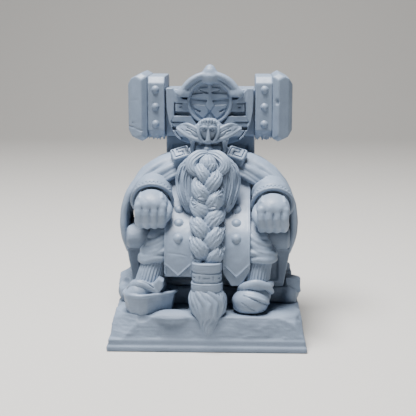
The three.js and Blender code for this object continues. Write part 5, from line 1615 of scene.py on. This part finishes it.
# ------------------------------------------------------------ stage
def stage():
    floor = bpy.data.materials.new("pale_studio_floor")
    floor.use_nodes = True
    shader = floor.node_tree.nodes["Principled BSDF"]
    shader.inputs["Base Color"].default_value = (0.52, 0.51, 0.49, 1)
    shader.inputs["Roughness"].default_value = 0.8
    wide, rise, bend = 0.9, 0.7, 0.14
    far = 0.28
    curve = [(far + bend * math.sin(a), bend - bend * math.cos(a)) for a in np.linspace(0, math.pi / 2, 14)]
    profile = [(-0.5, 0.0)] + curve + [(far + bend, rise)]
    points = [(x, y, z) for y, z in profile for x in (-wide, wide)]
    faces = [(2 * i, 2 * i + 1, 2 * i + 3, 2 * i + 2) for i in range(len(profile) - 1)]
    mesh = bpy.data.meshes.new("studio_sweep")
    mesh.from_pydata(points, [], faces)
    mesh.shade_smooth()
    mesh.materials.append(floor)
    sweep = bpy.data.objects.new("studio_sweep", mesh)
    bpy.context.scene.collection.objects.link(sweep)

    def lamp(name, spot, aim, size, power, tint):
        light = bpy.data.lights.new(name, "AREA")
        light.shape, light.size, light.energy, light.color = "DISK", size, power, tint
        lamp_object = bpy.data.objects.new(name, light)
        lamp_object.location = spot
        lamp_object.rotation_euler = (Vector(aim) - Vector(spot)).to_track_quat("-Z", "Y").to_euler()
        bpy.context.scene.collection.objects.link(lamp_object)
    lamp("overhead_softbox", (-0.04, -0.04, 0.30), (0, 0, 0.02), 0.15, 3.2, (1.0, 0.985, 0.97))
    lamp("front_fill", (-0.20, -0.30, 0.10), (0, 0, 0.022), 0.20, 0.07, (0.86, 0.93, 1.0))
    world = bpy.data.worlds.new("studio_room")
    world.use_nodes = True
    background = world.node_tree.nodes["Background"]
    background.inputs["Color"].default_value = (0.80, 0.88, 1.0, 1)
    background.inputs["Strength"].default_value = 0.075
    bpy.context.scene.world = world


def camera():
    azimuth, elevation, away = math.radians(2.0), math.radians(10.6), 0.165
    target = Vector((-0.00025, 0.0, 0.0206))
    level = math.cos(elevation)
    back = Vector((math.sin(azimuth) * level, -math.cos(azimuth) * level, math.sin(elevation)))
    lens = bpy.data.cameras.new("view")
    lens.sensor_width = 36
    lens.lens = 83.9423
    lens.clip_start = 0.01
    view = bpy.data.objects.new("view", lens)
    view.location = target + back * away
    view.rotation_euler = (-back).to_track_quat("-Z", "Y").to_euler()
    bpy.context.scene.collection.objects.link(view)
    bpy.context.scene.camera = view


# ------------------------------------------------------------ the figure
camera()
stage()
plinth()
step_rock()
seat_block()
back_slab()
hammer_core()
medallion()
crest_arch()
collar_rivets()
face()
helmet()
beast_mask()
beard()
lip_tuft()
braid()
beard_ring()
beard_tuft()
robe()
strap_studs, cuff_studs = [], []
for label, hand in SIDES:
    boulder(label, hand)
    armrest(label, hand)
    hammer_collar(label, hand)
    hammer_face(label, hand)
    crest_plate(label, hand)
    helmet_wing(label, hand)
    moustache(label, hand)
    strap_studs += strap(label, hand)[1]
    sleeve(label, hand)
    cuff_studs += cuff(label, hand)[1]
    fist(label, hand)
    boot_shaft(label, hand)
    boot_cuff(label, hand)
    cloak(label, hand)
    clasp(label, hand)
shoe_left()
shoe_right()
studs("strap_rivets", strap_studs, 0.72, 0.46, "ironwork",
      *[f"strap_rivet_{label}_{i}" for label, _ in SIDES for i in (1, 2, 3)])
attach(studs("cuff_studs", cuff_studs, 0.13, 0.12, "ironwork"), "root")
